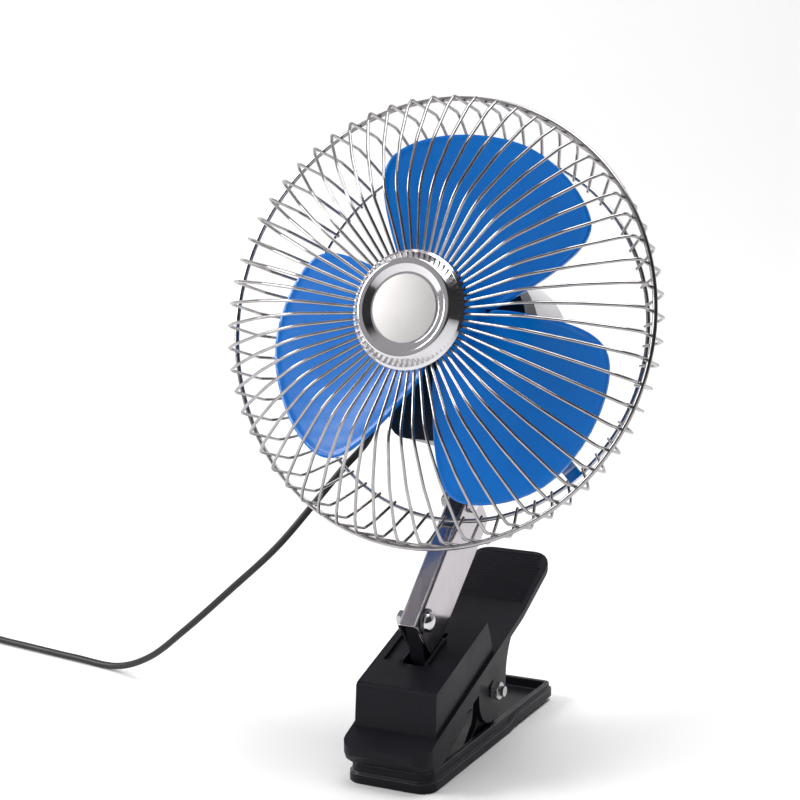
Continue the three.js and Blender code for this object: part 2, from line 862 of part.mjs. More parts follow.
// A ring of the guard, turned so that each wire crosses the middle of a segment.
function ring(radius, wire) {
  const torus = new THREE.TorusGeometry(radius, wire, ringSides, wireCount);
  return torus.rotateX(Math.PI * half).rotateY(Math.PI / wireCount);
}

function guard() {
  const wires = [];
  const wire = tube(wirePath(), wireRadius, wireSides);
  for (let i = 0; i < wireCount; i++) wires.push(wire.clone().rotateY((2 * Math.PI * i) / wireCount));
  const frontRing = ring(frontRingRadius, frontRingWire);
  const rearRing = ring(rearRingRadius, rearRingWire).translate(0, rearRingPlace, 0);
  return join(frontRing, rearRing, ...wires);
}

function cap() {
  const outside = [
    [0, -capDishAhead],
    [capDishRadius, -capDishAhead],
    [capDishRadius + capSheet, -capDishAhead - capSheet * half],
    [capCrestRadius - capSheet * 2, -capCrestAhead + capSheet * half],
    [capCrestRadius, -capCrestAhead],
    [capCrestRadius + capSheet * 2, -capCrestAhead + capSheet * half],
    [capRadius - capSheet, -capRimAhead - capSheet],
    [capRadius, -capRimAhead],
  ];
  const inside = outside.map(([radius, place]) => [Math.max(radius - capSheet * half, 0), place + capSheet]).reverse();
  return turned(outside.concat(inside), 32);
}

// The disc behind the wires' feet, dished forward round its screw.
function capBack() {
  const near = fit + wireRadius * Math.SQRT1_2 - wireFootAhead;
  const profile = [
    [capScrewRadius + fit, near],
    [capBackRadius, near],
    [capBackRadius, near + capSheet],
    [capScrewRadius + fit, near + capSheet],
  ];
  return turned(profile, 32);
}

function capScrew() {
  const head = capScrewRadius * 2;
  const seat = fit * 2 + wireRadius + capSheet - wireFootAhead;
  const profile = [
    [0, -capDishAhead + capSheet + fit],
    [capScrewRadius, -capDishAhead + capSheet + fit],
    [capScrewRadius, seat],
    [head, seat],
    [head, seat + capScrewRadius * half],
    [capScrewRadius, seat + capScrewRadius],
    [0, seat + capScrewRadius],
  ];
  return turned(profile, 12);
}

// A blade as a grid of points from the hub to its edge, front face and back face.
function blade(middle) {
  const columns = bladeEdgeShares.length;
  const positions = [];
  for (const face of [-half, half]) {
    bladeEdgeShares.forEach(([turn, reach]) => {
      for (let row = 0; row < bladeRows; row++) {
        const share = row / (bladeRows - 1);
        const root = hubRadius - hubWall * half;
        const radius = root + (reach * tipRadius - root) * share;
        const angle = radians(middle + turn * bladeHalfAngle * (1 - (1 - share) * bladeWaist));
        const out = radius / tipRadius;
        const place = bladePlane + turn * bladeRise * out + bladeCup * (turn * turn - half) * out;
        positions.push(radius * Math.sin(angle), place + face * bladeThickness, radius * Math.cos(angle));
      }
    });
  }
  const index = [];
  const at = (face, column, row) => (face * columns + column) * bladeRows + row;
  const quad = (a, b, c, d) => index.push(a, b, c, a, c, d);
  for (let c = 0; c < columns - 1; c++) {
    for (let r = 0; r < bladeRows - 1; r++) {
      quad(at(0, c, r), at(0, c + 1, r), at(0, c + 1, r + 1), at(0, c, r + 1));
      quad(at(1, c, r), at(1, c, r + 1), at(1, c + 1, r + 1), at(1, c + 1, r));
    }
    const top = bladeRows - 1;
    quad(at(0, c, top), at(0, c + 1, top), at(1, c + 1, top), at(1, c, top));
    quad(at(0, c, 0), at(1, c, 0), at(1, c + 1, 0), at(0, c + 1, 0));
  }
  for (let r = 0; r < bladeRows - 1; r++) {
    quad(at(0, 0, r), at(0, 0, r + 1), at(1, 0, r + 1), at(1, 0, r));
    quad(at(0, columns - 1, r), at(1, columns - 1, r), at(1, columns - 1, r + 1), at(0, columns - 1, r + 1));
  }
  const geometry = new THREE.BufferGeometry();
  geometry.setAttribute("position", new THREE.Float32BufferAttribute(positions, 3));
  geometry.setIndex(index);
  return geometry;
}

function rotor() {
  const blades = [];
  for (let i = 0; i < bladeCount; i++) blades.push(blade(bladePhase + (360 * i) / bladeCount));
  const cup = turned(
    [
      [shaftRadius + fit, hubFront],
      [hubRadius - hubWall, hubFront],
      [hubRadius, hubFront + hubWall],
      [hubRadius, hubBack],
      [hubRadius - hubWall, hubBack],
      [hubRadius - hubWall, hubFront + hubWall],
      [hubBossRadius, hubFront + hubWall],
      [hubBossRadius, hubBack - hubWall],
      [shaftRadius + fit, hubBack - hubWall],
    ],
    36,
  );
  const bore = turned(
    [
      [0, -tipRadius],
      [hubRadius - hubWall, -tipRadius],
      [hubRadius - hubWall, tipRadius],
      [0, tipRadius],
    ],
    36,
  );
  return join(cut(join(...blades), bore), cup);
}

// The housing's outline from the front: a round top over a rounded box.
function housingFace(inset) {
  const radius = housingRadius - inset;
  const round = turned([
    [0, -overrun],
    [radius, -overrun],
    [radius, shellBack],
    [0, shellBack],
  ]);
  const corners = boxCorners((housingHalfWidth - inset) * 2, inset - housingBelow, 0, housingCorner - inset, 0);
  return { round, box: outline(corners, 5) };
}

function slab(near, far) {
  return block(-frontRingRadius, frontRingRadius, near, far, -frontRingRadius, frontRingRadius);
}

function motorHousing() {
  const outer = housingFace(0);
  const inner = housingFace(housingWall);
  const drum = common(outer.round, slab(housingFront, housingSeat));
  const box = front(outer.box, housingFront, housingBack);
  const shellRoom = turned([
    [0, housingSeat],
    [housingRadius + fit, housingSeat],
    [housingRadius + fit, shellBack + overrun],
    [0, shellBack + overrun],
  ]);
  const drumHollow = common(inner.round, slab(housingFront + housingWall, housingSeat + overrun));
  const boxHollow = front(inner.box, housingFront + housingWall, housingBack - housingWall);
  const tongueHalf = webWidth * half - sheet - fit;
  const lean = radians(stemLean - headPitch + tiltDown);
  const neckStart = [-tongueRadius * Math.cos(lean), tongueRadius * Math.sin(lean)];
  const neckEnd = [neckStart[0] + tongueNeck * Math.sin(lean), neckStart[1] + tongueNeck * Math.cos(lean)];
  const root = axisAbovePin - housingBelow + housingWall * half;
  const plate = side(
    outline([
      [...neckStart, 0],
      [tongueRadius * half, -tongueRadius * half, 0],
      [tongueBack, tongueNeck, tongueRadius],
      [tongueBack, root, 0],
      [-tongueFront, root, 0],
      [-tongueFront, tongueShoulder, 0],
      [...neckEnd, 0],
    ], 5),
    -tongueHalf,
    tongueHalf,
  );
  const tongue = join(plate, bar(tongueRadius, -tongueHalf, tongueHalf, 24));
  tongue.translate(0, ringAheadOfPin, -axisAbovePin);
  const pin = bar(boltDiameter * half + fit, -jawWidth, jawWidth).translate(0, ringAheadOfPin, -axisAbovePin);
  const shaft = turned([
    [0, -overrun],
    [bushRadius + fit, -overrun],
    [bushRadius + fit, housingSeat],
    [0, housingSeat],
  ], 20);
  const window = block(
    -switchWidth * half + switchBezel,
    switchWidth * half - switchBezel,
    housingBack - housingWall - overrun,
    housingBack + overrun,
    -switchBelow - switchHeight * half + switchBezel,
    -switchBelow + switchHeight * half - switchBezel,
  );
  const gland = bar(glandRadius + fit, -housingHalfWidth - overrun, -housingHalfWidth + housingWall + overrun);
  const shell = cut(cut(join(drum, box), shellRoom), drumHollow, boxHollow, shaft, window);
  const boss = turned([
    [motorRadius + fit, housingFront + housingWall * half],
    [motorRadius + fit + housingWall, housingFront + housingWall * half],
    [motorRadius + fit + housingWall, motorBossBack],
    [motorRadius + fit, motorBossBack],
  ], 24);
  return cut(join(shell, tongue, boss), pin, gland.translate(0, glandBehind, -glandBelow));
}

function rearShell() {
  const near = housingSeat + fit;
  const outside = outline([
    [housingRadius, near, 0],
    [housingRadius, shellShoulder, housingRadius * half],
    [shellEndRadius, shellBack, shellEndRadius * half],
    [0, shellBack, 0],
  ], 3);
  const inside = outline([
    [housingRadius - shellSheet, near, 0],
    [housingRadius - shellSheet, shellShoulder - shellSheet * half, housingRadius * half],
    [shellEndRadius - shellSheet, shellBack - shellSheet, shellEndRadius * half],
    [0, shellBack - shellSheet, 0],
  ], 2);
  return turned(outside.concat(inside.reverse()).map((p) => [p.x, p.y]));
}

function motorCan() {
  const profile = outline([
    [bushRadius + fit, motorFront + bushLength, 0],
    [motorRadius, motorFront + bushLength, motorCorner],
    [motorRadius, motorBack, motorCorner],
    [bushRadius + fit, motorBack, 0],
  ], 2);
  return turned(profile.map((p) => [p.x, p.y]), 24);
}

function bush(near) {
  return turned([
    [shaftRadius + fit, near],
    [bushRadius, near],
    [bushRadius, near + bushLength],
    [shaftRadius + fit, near + bushLength],
  ], 12);
}

function shaft() {
  const near = hubFront + hubWall;
  const far = motorBack + bushLength;
  return turned([[0, near], [shaftRadius, near], [shaftRadius, far], [0, far]], 12);
}

// An arm from the housing's face out to the rear ring of the guard.
function arm() {
  const face = housingFront - fit;
  const ringFront = rearRingPlace - rearRingWire - fit;
  const tip = rearRingRadius + rearRingWire;
  const shape = outline([
    [face - armThickness, armFoot - armWidth * half, 0],
    [face, armFoot - armWidth * half, 0],
    [face, armBendRadius, armThickness],
    [ringFront, rearRingRadius - armWidth * half, armThickness],
    [ringFront, tip, 0],
    [ringFront - armThickness, tip, 0],
    [ringFront - armThickness, rearRingRadius - armWidth * half, armThickness],
    [face - armThickness, armBendRadius, armThickness],
  ], 2);
  const radius = armScrewRadius + fit;
  const hole = turned([
    [0, -overrun],
    [radius, -overrun],
    [radius, housingBack],
    [0, housingBack],
  ], 12);
  return cut(side(shape, -armWidth * half, armWidth * half), hole.translate(0, 0, armFoot));
}

function armScrew() {
  const face = housingFront - fit - armThickness - fit;
  const profile = [
    [0, face - armScrewHead],
    [armScrewRadius, face - armScrewHead],
    [armScrewHeadRadius, face - armScrewHead * half],
    [armScrewHeadRadius, face],
    [armScrewRadius, face],
    [armScrewRadius, housingFront - fit],
    [0, housingFront - fit],
  ];
  return turned(profile, 12).translate(0, 0, armFoot);
}

function switchBody() {
  const back = housingBack + fit;
  const outer = outline(boxCorners(switchWidth, -switchHeight * half, switchHeight * half, switchBezel, switchBezel));
  const inner = outline(
    boxCorners(rockerWidth + fit * 2, -rockerHeight * half - fit, rockerHeight * half + fit, 0, 0),
  );
  const rim = cut(front(outer, back, back + switchBezel), front(inner, back - overrun, back + switchBezel + overrun));
  return rim.translate(0, 0, -switchBelow);
}

// The rocker, modelled round its own axle, tipped to "off".
function switchRocker() {
  const points = outline([
    [-switchBezel, -rockerHeight * half + fit, 0],
    [rockerStand, -rockerHeight * half + fit, fit],
    [rockerStand * half, 0, 0],
    [rockerStand, rockerHeight * half - fit, fit],
    [-switchBezel, rockerHeight * half - fit, 0],
  ]);
  return side(points, -rockerWidth * half, rockerWidth * half);
}

// The cord's gland: a stepped sleeve in the housing's left wall.
function gland() {
  const profile = [
    [cordDiameter * half + fit, 0],
    [glandRadius, 0],
    [glandRadius, housingWall + fit],
    [glandCollarRadius, housingWall + fit],
    [glandEndRadius, housingWall + glandLength],
    [cordDiameter * half + fit, housingWall + glandLength],
  ];
  const sleeve = turned(profile, 16).rotateZ(Math.PI * half);
  return sleeve.translate(-housingHalfWidth + housingWall, glandBehind, -glandBelow);
}

const upperPin = new THREE.Vector3(
  0,
  stemLength * Math.sin(radians(stemLean)) - stemPinAhead,
  stemLength * Math.cos(radians(stemLean)) + stemPinHeight,
);

// A place on the head, given behind the front ring, above the axis and to the right.
function onHead(right, behind, above) {
  const place = new THREE.Vector3(right, behind - ringAheadOfPin, above + axisAbovePin);
  return place.applyAxisAngle(xAxis, radians(-headPitch)).add(upperPin);
}

// The cord's free stretches, as places chosen by hand along its way from the gland to the coil.
const cordOutSteps = 40;
const cordClear = 1.3; // from the guard's ring to the place where the cord's head end stops
const cordDrop = [
  [-48, 4, 138],
  [-60, -2, 122],
  [-75, -5, 103],
  [-92, -8, 82.5],
  [-120, -5, 57],
  [-150, 0, 31],
  [-176, 6, 11],
  [-200, 12, 1],
  [-230, 17, 0],
  [-262, 22, 0],
  [-290, 27, 0],
];
const coilCentre = [-330, 12];
const coilStartAngle = 68; // degrees
const plugAway = 46; // from the coil to the plug's tail

// Two layers of loops: the cord winds in, climbs a layer in half a turn, and winds out.
function coilPath() {
  const points = [];
  const low = cordDiameter * half + fit;
  const climb = coilSteps * half;
  const put = (radius, step, height) => {
    const angle = radians(coilStartAngle) + (2 * Math.PI * step) / coilSteps;
    const x = coilCentre[0] + radius * Math.cos(angle);
    points.push(new THREE.Vector3(x, coilCentre[1] + radius * Math.sin(angle), height));
  };
  const stepsIn = coilTurnsIn * coilSteps;
  const stepsOut = coilTurnsOut * coilSteps;
  const inside = coilOuterRadius - coilPitch * coilTurnsIn;
  for (let i = 0; i <= stepsIn; i++) put(coilOuterRadius - (coilPitch * i) / coilSteps, i, low);
  for (let i = 1; i <= climb; i++) {
    const share = i / climb;
    const rise = THREE.MathUtils.smoothstep(share, 0, 1);
    put(inside - coilDip * Math.sin(Math.PI * share), stepsIn + i, low + coilLayer * rise);
  }
  for (let i = 1; i <= stepsOut; i++) {
    put(inside + (coilPitch * i) / coilSteps, stepsIn + climb + i, low + coilLayer);
  }
  return points;
}

// The coil's ends run straight for one diameter.
function straightEnds(points) {
  const first = points[0].clone().sub(points[1]).setLength(cordDiameter).add(points[0]);
  const last = points.at(-1).clone().sub(points.at(-2)).setLength(cordDiameter).add(points.at(-1));
  return [first, ...points, last];
}

// The least gap between parts of a tube that are more than `apart` steps from each other.
function leastGap(points, apart, diameter) {
  const parts = 4;
  const fine = [];
  for (let i = 0; i < points.length - 1; i++) {
    for (let k = 0; k < parts; k++) fine.push(points[i].clone().lerp(points[i + 1], k / parts));
  }
  let least = Infinity;
  for (let i = 0; i < fine.length; i++) {
    for (let j = i + apart * parts; j < fine.length; j++) {
      least = Math.min(least, fine[i].distanceTo(fine[j]));
    }
  }
  return least - diameter;
}

// Evenly stepped points along a smooth curve through places.
function smooth(places, steps) {
  return new THREE.CatmullRomCurve3(places, false, "centripetal").getSpacedPoints(steps);
}

// The plug for a dashboard socket, along +Y from its tail, at rest on the surface.
function plugBody() {
  const body = turned(
    [
      [cordDiameter * half + fit, 0],
      [plugTailRadius, 0],
      [plugNeckRadius, plugTailLength],
      [plugGripRadius, plugTailLength + plugTailRadius],
      [plugGripRadius, plugTailLength + plugGripLength],
      [plugRadius, plugTailLength + plugGripLength + plugTailRadius * half],
      [plugRadius, plugTailLength + plugGripLength + plugBodyLength],
      [plugNoseRadius, plugTailLength + plugGripLength + plugBodyLength],
      [plugNoseRadius, plugTailLength + plugGripLength],
      [cordDiameter * half + fit, plugTailLength + plugGripLength * half],
    ],
    20,
  );
  const near = plugTailLength + plugGripLength + plugBodyLength * half;
  const slots = [-1, 1].map((way) =>
    block(
      way > 0 ? plugNoseRadius - overrun : -plugGripRadius - overrun,
      way > 0 ? plugGripRadius + overrun : -plugNoseRadius + overrun,
      near - contactLength * half,
      near + contactLength * half,
      -contactWidth * half - fit,
      contactWidth * half + fit,
    ),
  );
  return cut(body, ...slots);
}

const plugNoseStart = plugTailLength + plugGripLength + plugBodyLength;

function plugNose() {
  const near = plugNoseStart + fit;
  const profile = [
    [plugTipRadius + fit, near],
    [plugRadius, near],
    [plugRadius, near + plugNoseLength * half],
    [plugRimRadius, near + plugNoseLength],
    [plugTipRadius + fit, near + plugNoseLength],
  ];
  return turned(profile, 20);
}

function plugTip() {
  const end = plugNoseStart + plugNoseLength + plugTipLength;
  const inside = plugNoseStart - plugTipLength;
  const profile = outline([
    [0, inside, 0],
    [plugTipRadius, inside, 0],
    [plugTipRadius, end, plugTipRadius * tipCrown],
    [0, end, 0],
  ], 2);
  return turned(profile.map((p) => [p.x, p.y]), 12);
}

// A sprung side contact of the plug: a bowed strip that stands out of its slot.
function plugContact(way) {
  const middle = plugTailLength + plugGripLength + plugBodyLength * half;
  const end = contactLength * half - fit;
  const inner = plugNoseRadius + fit;
  const points = outline([
    [inner, middle - end, 0],
    [plugRadius, middle - end, 0],
    [plugRadius + contactStand, middle - end * half, contactStand],
    [plugRadius + contactStand, middle + end * half, contactStand],
    [plugRadius, middle + end, 0],
    [inner, middle + end, 0],
  ]);
  return plan(points, -contactWidth * half, contactWidth * half).rotateY(way > 0 ? 0 : Math.PI);
}

// Places of the groups
const fan = new THREE.Group();
const clamp = new THREE.Group();
const stemGroup = new THREE.Group();
const head = new THREE.Group();
const cords = new THREE.Group();
stemGroup.position.set(0, -stemPinAhead, stemPinHeight);
stemGroup.rotation.x = -radians(stemLean);
head.position.copy(onHead(0, 0, 0));
head.rotation.x = -radians(headPitch);
fan.add(clamp, stemGroup, head, cords);
fan.name = "clip_fan";
clamp.name = "clamp";
stemGroup.name = "stem_group";
head.name = "head";
cords.name = "cords";

const lugInner = plateWidth * half - cheekThickness * 2 - cheekGap - lugThickness;
const cheekFace = plateWidth * half - cheekThickness;
const springPoints = springPath();

clamp.add(named("lower_jaw", lowerJaw(), black));
clamp.add(named("upper_jaw", upperJaw(), black));
const lowPad = gripPad(jawFloor + fit, lipBottom - fit, true);
clamp.add(named("lower_grip_pad", lowPad, rubber));
const highPad = gripPad(lipBottom, lipBottom + gripThickness, false);
clamp.add(named("upper_grip_pad", highPad, rubber));
const boltShank = bar(boltDiameter * half, 0, cheekFace + nutHeight + boltEnd);
const bolt = join(screw(-cheekFace - fit, cheekFace + fit, boltHeadHeight).rotateZ(Math.PI), boltShank);
clamp.add(named("clamp_bolt", bolt.translate(0, 0, clampBoltHeight), zinc));
clamp.add(named("clamp_nut", nut(cheekFace + fit).translate(0, 0, clampBoltHeight), zinc));
const sleeve = cut(bar(sleeveRadius, -lugInner + fit, lugInner - fit, 24), bar(sleeveBore, -jawWidth, jawWidth));
clamp.add(named("spring_sleeve", sleeve.translate(0, 0, clampBoltHeight), black));
const spring = tube(springPoints, springWireDiameter * half, 5).translate(0, 0, clampBoltHeight);
clamp.add(named("clamp_spring", spring, steel));

stemGroup.add(named("stem", stem(), chrome));
const flangeFace = webWidth * half;
const headSeat = flangeFace + fit * 2 + washerThickness;
const pinEnd = bar(boltDiameter * half, -flangeFace - nutHeight - boltEnd, 0);
const lowPin = join(screw(-flangeFace - fit, headSeat, boltHeadHeight), pinEnd);
stemGroup.add(named("stem_screw", lowPin, chrome));
stemGroup.add(named("stem_washer", washer(flangeFace + fit), zinc));
stemGroup.add(named("stem_nut", nut(-flangeFace - fit - nutHeight), zinc));
const highPin = join(screw(-flangeFace - fit, flangeFace + fit, boltHeadHeight), pinEnd);
stemGroup.add(named("tilt_screw", highPin.translate(0, 0, stemLength), chrome));
stemGroup.add(named("tilt_nut", nut(-flangeFace - fit - nutHeight).translate(0, 0, stemLength), zinc));

head.add(named("wire_guard", guard(), chrome));
head.add(named("guard_cap", cap(), chrome));
head.add(named("cap_back", capBack(), chrome));
head.add(named("cap_screw", capScrew(), zinc));
head.add(named("fan_rotor", rotor(), blue));
head.add(named("motor_shaft", shaft(), steel));
head.add(named("motor_housing", motorHousing(), black));
head.add(named("rear_shell", rearShell(), chrome));
head.add(named("motor_can", motorCan(), steel));
head.add(named("front_bush", bush(motorFront - fit), bronze));
head.add(named("rear_bush", bush(motorBack - bushLength + fit), bronze));
for (let i = 0; i < armCount; i++) {
  const turn = radians(armPhase + (360 * i) / armCount);
  head.add(named("guard_arm_" + (i + 1), arm().rotateY(turn), chrome));
  head.add(named("arm_screw_" + (i + 1), armScrew().rotateY(turn), zinc));
}
head.add(named("switch_bezel", switchBody(), black));
const rocker = named("switch_rocker", switchRocker(), black);
rocker.position.set(0, housingBack + fit, -switchBelow);
rocker.rotation.x = radians(rockerAngle);
head.add(rocker);
head.add(named("cord_gland", gland(), rubber));

const glandMouth = onHead(-housingHalfWidth - glandLength - fit, glandBehind, -glandBelow);
const glandOut = onHead(-housingHalfWidth - glandLength - cordDiameter * 2, glandBehind, -glandBelow);
const coilPoints = straightEnds(coilPath());
const coilStart = coilPoints[0].clone().sub(coilPoints[1]).normalize();
const cordLow = cordDiameter * half + fit;
const dropPlaces = cordDrop.map(([x, y, above]) => new THREE.Vector3(x, y, above + cordLow));
const beforeCoil = coilPoints[0].clone().addScaledVector(coilStart, cordDiameter * 3);
const meetCoil = coilPoints[0].clone().addScaledVector(coilStart, fit);
const outPlaces = [glandMouth, glandOut, ...dropPlaces, beforeCoil, meetCoil];
const outCord = tube(smooth(outPlaces, cordOutSteps), cordDiameter * half, cordSides);
const cordCut = -frontRingRadius - frontRingWire - cordClear;
cords.add(named("cord_drop", trimmed(outCord, 1, cordCut + fit * half), rubber));
cords.add(named("cord_run", trimmed(outCord, -1, cordCut - fit * half), rubber));
cords.add(named("cord_coil", tube(coilPoints, cordDiameter * half, coilSides), rubber));

// The end of the coil rises to the plug's tail.
const plugGroup = new THREE.Group();
plugGroup.name = "plug";
const coilEnd = coilPoints.at(-1);
const coilEndWay = coilEnd.clone().sub(coilPoints.at(-2)).normalize();
const plugTurn = Math.atan2(-coilEndWay.x, coilEndWay.y);
const plugTail = coilEnd.clone().addScaledVector(coilEndWay, plugAway).setZ(plugGripRadius);
plugGroup.position.copy(plugTail);
plugGroup.rotation.z = plugTurn;
plugGroup.add(named("plug_body", plugBody(), black));
plugGroup.add(named("plug_nose", plugNose(), black));
plugGroup.add(named("plug_tip", plugTip(), zinc));
plugGroup.add(named("plug_contact_1", plugContact(-1), zinc));
plugGroup.add(named("plug_contact_2", plugContact(1), zinc));
cords.add(plugGroup);
const endPlaces = [
  coilEnd.clone().addScaledVector(coilEndWay, fit),
  coilEnd.clone().addScaledVector(coilEndWay, cordDiameter * 2),
  plugTail.clone().addScaledVector(coilEndWay, -cordDiameter * 2),
  plugTail.clone().addScaledVector(coilEndWay, -fit),
];
cords.add(named("cord_end", tube(smooth(endPlaces, 8), cordDiameter * half, cordSides), rubber));

const runLength = new THREE.CatmullRomCurve3(outPlaces, false, "centripetal").getLength();
const endLength = new THREE.CatmullRomCurve3(endPlaces, false, "centripetal").getLength();
const coilLength = coilPoints.slice(1).reduce((sum, point, i) => sum + point.distanceTo(coilPoints[i]), 0);

// The part stands on z = 0, with the middle of everything but the cord over the origin.
fan.updateMatrixWorld(true);
const bounds = new THREE.Box3();
for (const group of [clamp, stemGroup, head]) bounds.union(new THREE.Box3().setFromObject(group, true));
const middle = bounds.getCenter(new THREE.Vector3()).setZ(bounds.min.z);
fan.children.forEach((group) => group.position.sub(middle));

console.log(
  "cord_coil: least gap " + leastGap(coilPoints, 6, cordDiameter).toFixed(2) + " mm; cord lengths " +
    [runLength, coilLength, endLength].map((length) => length.toFixed(0)).join(" + ") + " mm",
);

export default fan;
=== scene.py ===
"""Looks of a clip-on fan: wire guard, blue blades, chrome stem, spring clamp and cord."""

import json
import logging
import math
from dataclasses import dataclass
from enum import Enum
from typing import Callable, Iterable, Sequence

import bmesh
import bpy
import numpy as np
from mathutils import Matrix, Vector

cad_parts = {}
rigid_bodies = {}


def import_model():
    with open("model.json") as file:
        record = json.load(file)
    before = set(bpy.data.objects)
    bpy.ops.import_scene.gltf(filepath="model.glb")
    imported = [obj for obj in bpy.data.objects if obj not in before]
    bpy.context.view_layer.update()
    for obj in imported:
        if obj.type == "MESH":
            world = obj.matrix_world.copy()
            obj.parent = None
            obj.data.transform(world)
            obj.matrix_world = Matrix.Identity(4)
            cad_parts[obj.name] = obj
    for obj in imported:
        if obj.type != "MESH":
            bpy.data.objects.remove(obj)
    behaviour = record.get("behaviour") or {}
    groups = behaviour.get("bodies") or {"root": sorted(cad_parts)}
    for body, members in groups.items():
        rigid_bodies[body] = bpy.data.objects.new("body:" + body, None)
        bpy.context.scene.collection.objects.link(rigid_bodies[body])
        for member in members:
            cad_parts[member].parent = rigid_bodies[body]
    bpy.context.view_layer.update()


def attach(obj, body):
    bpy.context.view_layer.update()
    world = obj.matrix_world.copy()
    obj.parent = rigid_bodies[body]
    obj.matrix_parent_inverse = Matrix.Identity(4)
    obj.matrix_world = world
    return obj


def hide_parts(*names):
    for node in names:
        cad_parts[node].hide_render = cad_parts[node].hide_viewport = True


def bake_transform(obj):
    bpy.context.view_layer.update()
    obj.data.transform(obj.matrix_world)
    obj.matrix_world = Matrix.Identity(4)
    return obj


log = logging.getLogger("clip_fan")
MM = 0.001
Point = Sequence[float]


class Body(Enum):
    """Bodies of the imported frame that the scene's own pieces ride on."""

    LOWER_JAW = "lower_jaw"
    UPPER_JAW = "upper_jaw"
    STEM = "stem"
    HEAD = "head"
    ROTOR = "rotor"
    ROCKER = "switch_rocker"


class Slot(Enum):
    """The record's material slots that the scene's own pieces use."""

    BLACK_PLASTIC = "black_plastic"
    BLACK_RUBBER = "black_rubber"
    CORD = "cord_black"
    CHROME = "chrome"
    ZINC = "zinc"
    SPRING = "spring_steel"
    BLUE_PLASTIC = "blue_plastic"


@dataclass(frozen=True)
class HeadPlace:
    """Where the head stands: its local +Y runs back along the fan's axis, +Z up."""

    origin: tuple[float, float, float] = (0.0, -0.025698, 0.203052)
    pitch_deg: float = 16.7

    def matrix(self) -> Matrix:
        """Return the matrix from the head's own frame to the object's."""
        turn = Matrix.Rotation(math.radians(-self.pitch_deg), 4, "X")
        return Matrix.Translation(self.origin) @ turn


@dataclass(frozen=True)
class ClampPlace:
    """Where the clamp stands: origin on the floor under its bolt."""

    origin: tuple[float, float, float] = (0.0, -0.001706, 0.0)

    def matrix(self) -> Matrix:
        """Return the matrix from the clamp's own frame to the object's."""
        return Matrix.Translation(self.origin)


# ---- Finishes


class NodeSheet:
    """A material's node tree with short calls for adding and joining nodes."""

    def __init__(self, name: str) -> None:
        """Start an empty material.

        Args:
            name: the material's name.
        """
        self.material = bpy.data.materials.new(name)
        self.material.use_nodes = True
        self.tree = self.material.node_tree
        self.tree.nodes.clear()
        self.output = self.add("ShaderNodeOutputMaterial")
        self.shader = self.add("ShaderNodeBsdfPrincipled")
        self.join(self.shader.outputs["BSDF"], self.output.inputs["Surface"])

    def add(self, kind: str, **values: object) -> bpy.types.Node:
        """Add a node.

        Args:
            kind: the node's Blender type.
            values: properties to set on it.

        Returns:
            The new node.
        """
        node = self.tree.nodes.new(kind)
        for key, value in values.items():
            setattr(node, key, value)
        return node

    def join(self, out: bpy.types.NodeSocket, into: bpy.types.NodeSocket) -> None:
        """Link one socket to another."""
        self.tree.links.new(out, into)

    def noise(self, scale: float, detail: float = 3.0, stretch: Point = (1, 1, 1)) -> bpy.types.NodeSocket:
        """Add noise on object coordinates.

        Args:
            scale: the noise's scale, per metre.
            detail: its octaves.
            stretch: how much each axis is squeezed first.

        Returns:
            The noise's value, 0 to 1.
        """
        where = self.add("ShaderNodeTexCoord")
        mapping = self.add("ShaderNodeMapping")
        mapping.inputs["Scale"].default_value = stretch
        texture = self.add("ShaderNodeTexNoise")
        texture.inputs["Scale"].default_value = scale
        texture.inputs["Detail"].default_value = detail
        self.join(where.outputs["Object"], mapping.inputs["Vector"])
        self.join(mapping.outputs["Vector"], texture.inputs["Vector"])
        return texture.outputs["Fac"]

    def span(self, value: bpy.types.NodeSocket, low: float, high: float) -> bpy.types.NodeSocket:
        """Map 0.3 to 0.7 of a value onto a range.

        Args:
            value: the socket to map.
            low: the result at 0.3.
            high: the result at 0.7.

        Returns:
            The mapped value.
        """
        node = self.add("ShaderNodeMapRange")
        node.inputs["From Min"].default_value = 0.3
        node.inputs["From Max"].default_value = 0.7
        node.inputs["To Min"].default_value = low
        node.inputs["To Max"].default_value = high
        self.join(value, node.inputs["Value"])
        return node.outputs["Result"]

    def blend_colour(self, share: bpy.types.NodeSocket, first: Point, second: Point) -> bpy.types.NodeSocket:
        """Mix two colours.

        Args:
            share: how much of the second colour.
            first: linear colour at 0.
            second: linear colour at 1.

        Returns:
            The mixed colour.
        """
        node = self.add("ShaderNodeMix", data_type="RGBA")
        node.inputs[6].default_value = (*first, 1)
        node.inputs[7].default_value = (*second, 1)
        self.join(share, node.inputs[0])
        return node.outputs[2]

    def bump(self, height: bpy.types.NodeSocket, strength: float, distance: float) -> None:
        """Drive the shader's normal from a height.

        Args:
            height: the height socket.
            strength: the bump's strength.
            distance: its depth in metres.
        """
        node = self.add("ShaderNodeBump")
        node.inputs["Strength"].default_value = strength
        node.inputs["Distance"].default_value = distance
        self.join(height, node.inputs["Height"])
        self.join(node.outputs["Normal"], self.shader.inputs["Normal"])


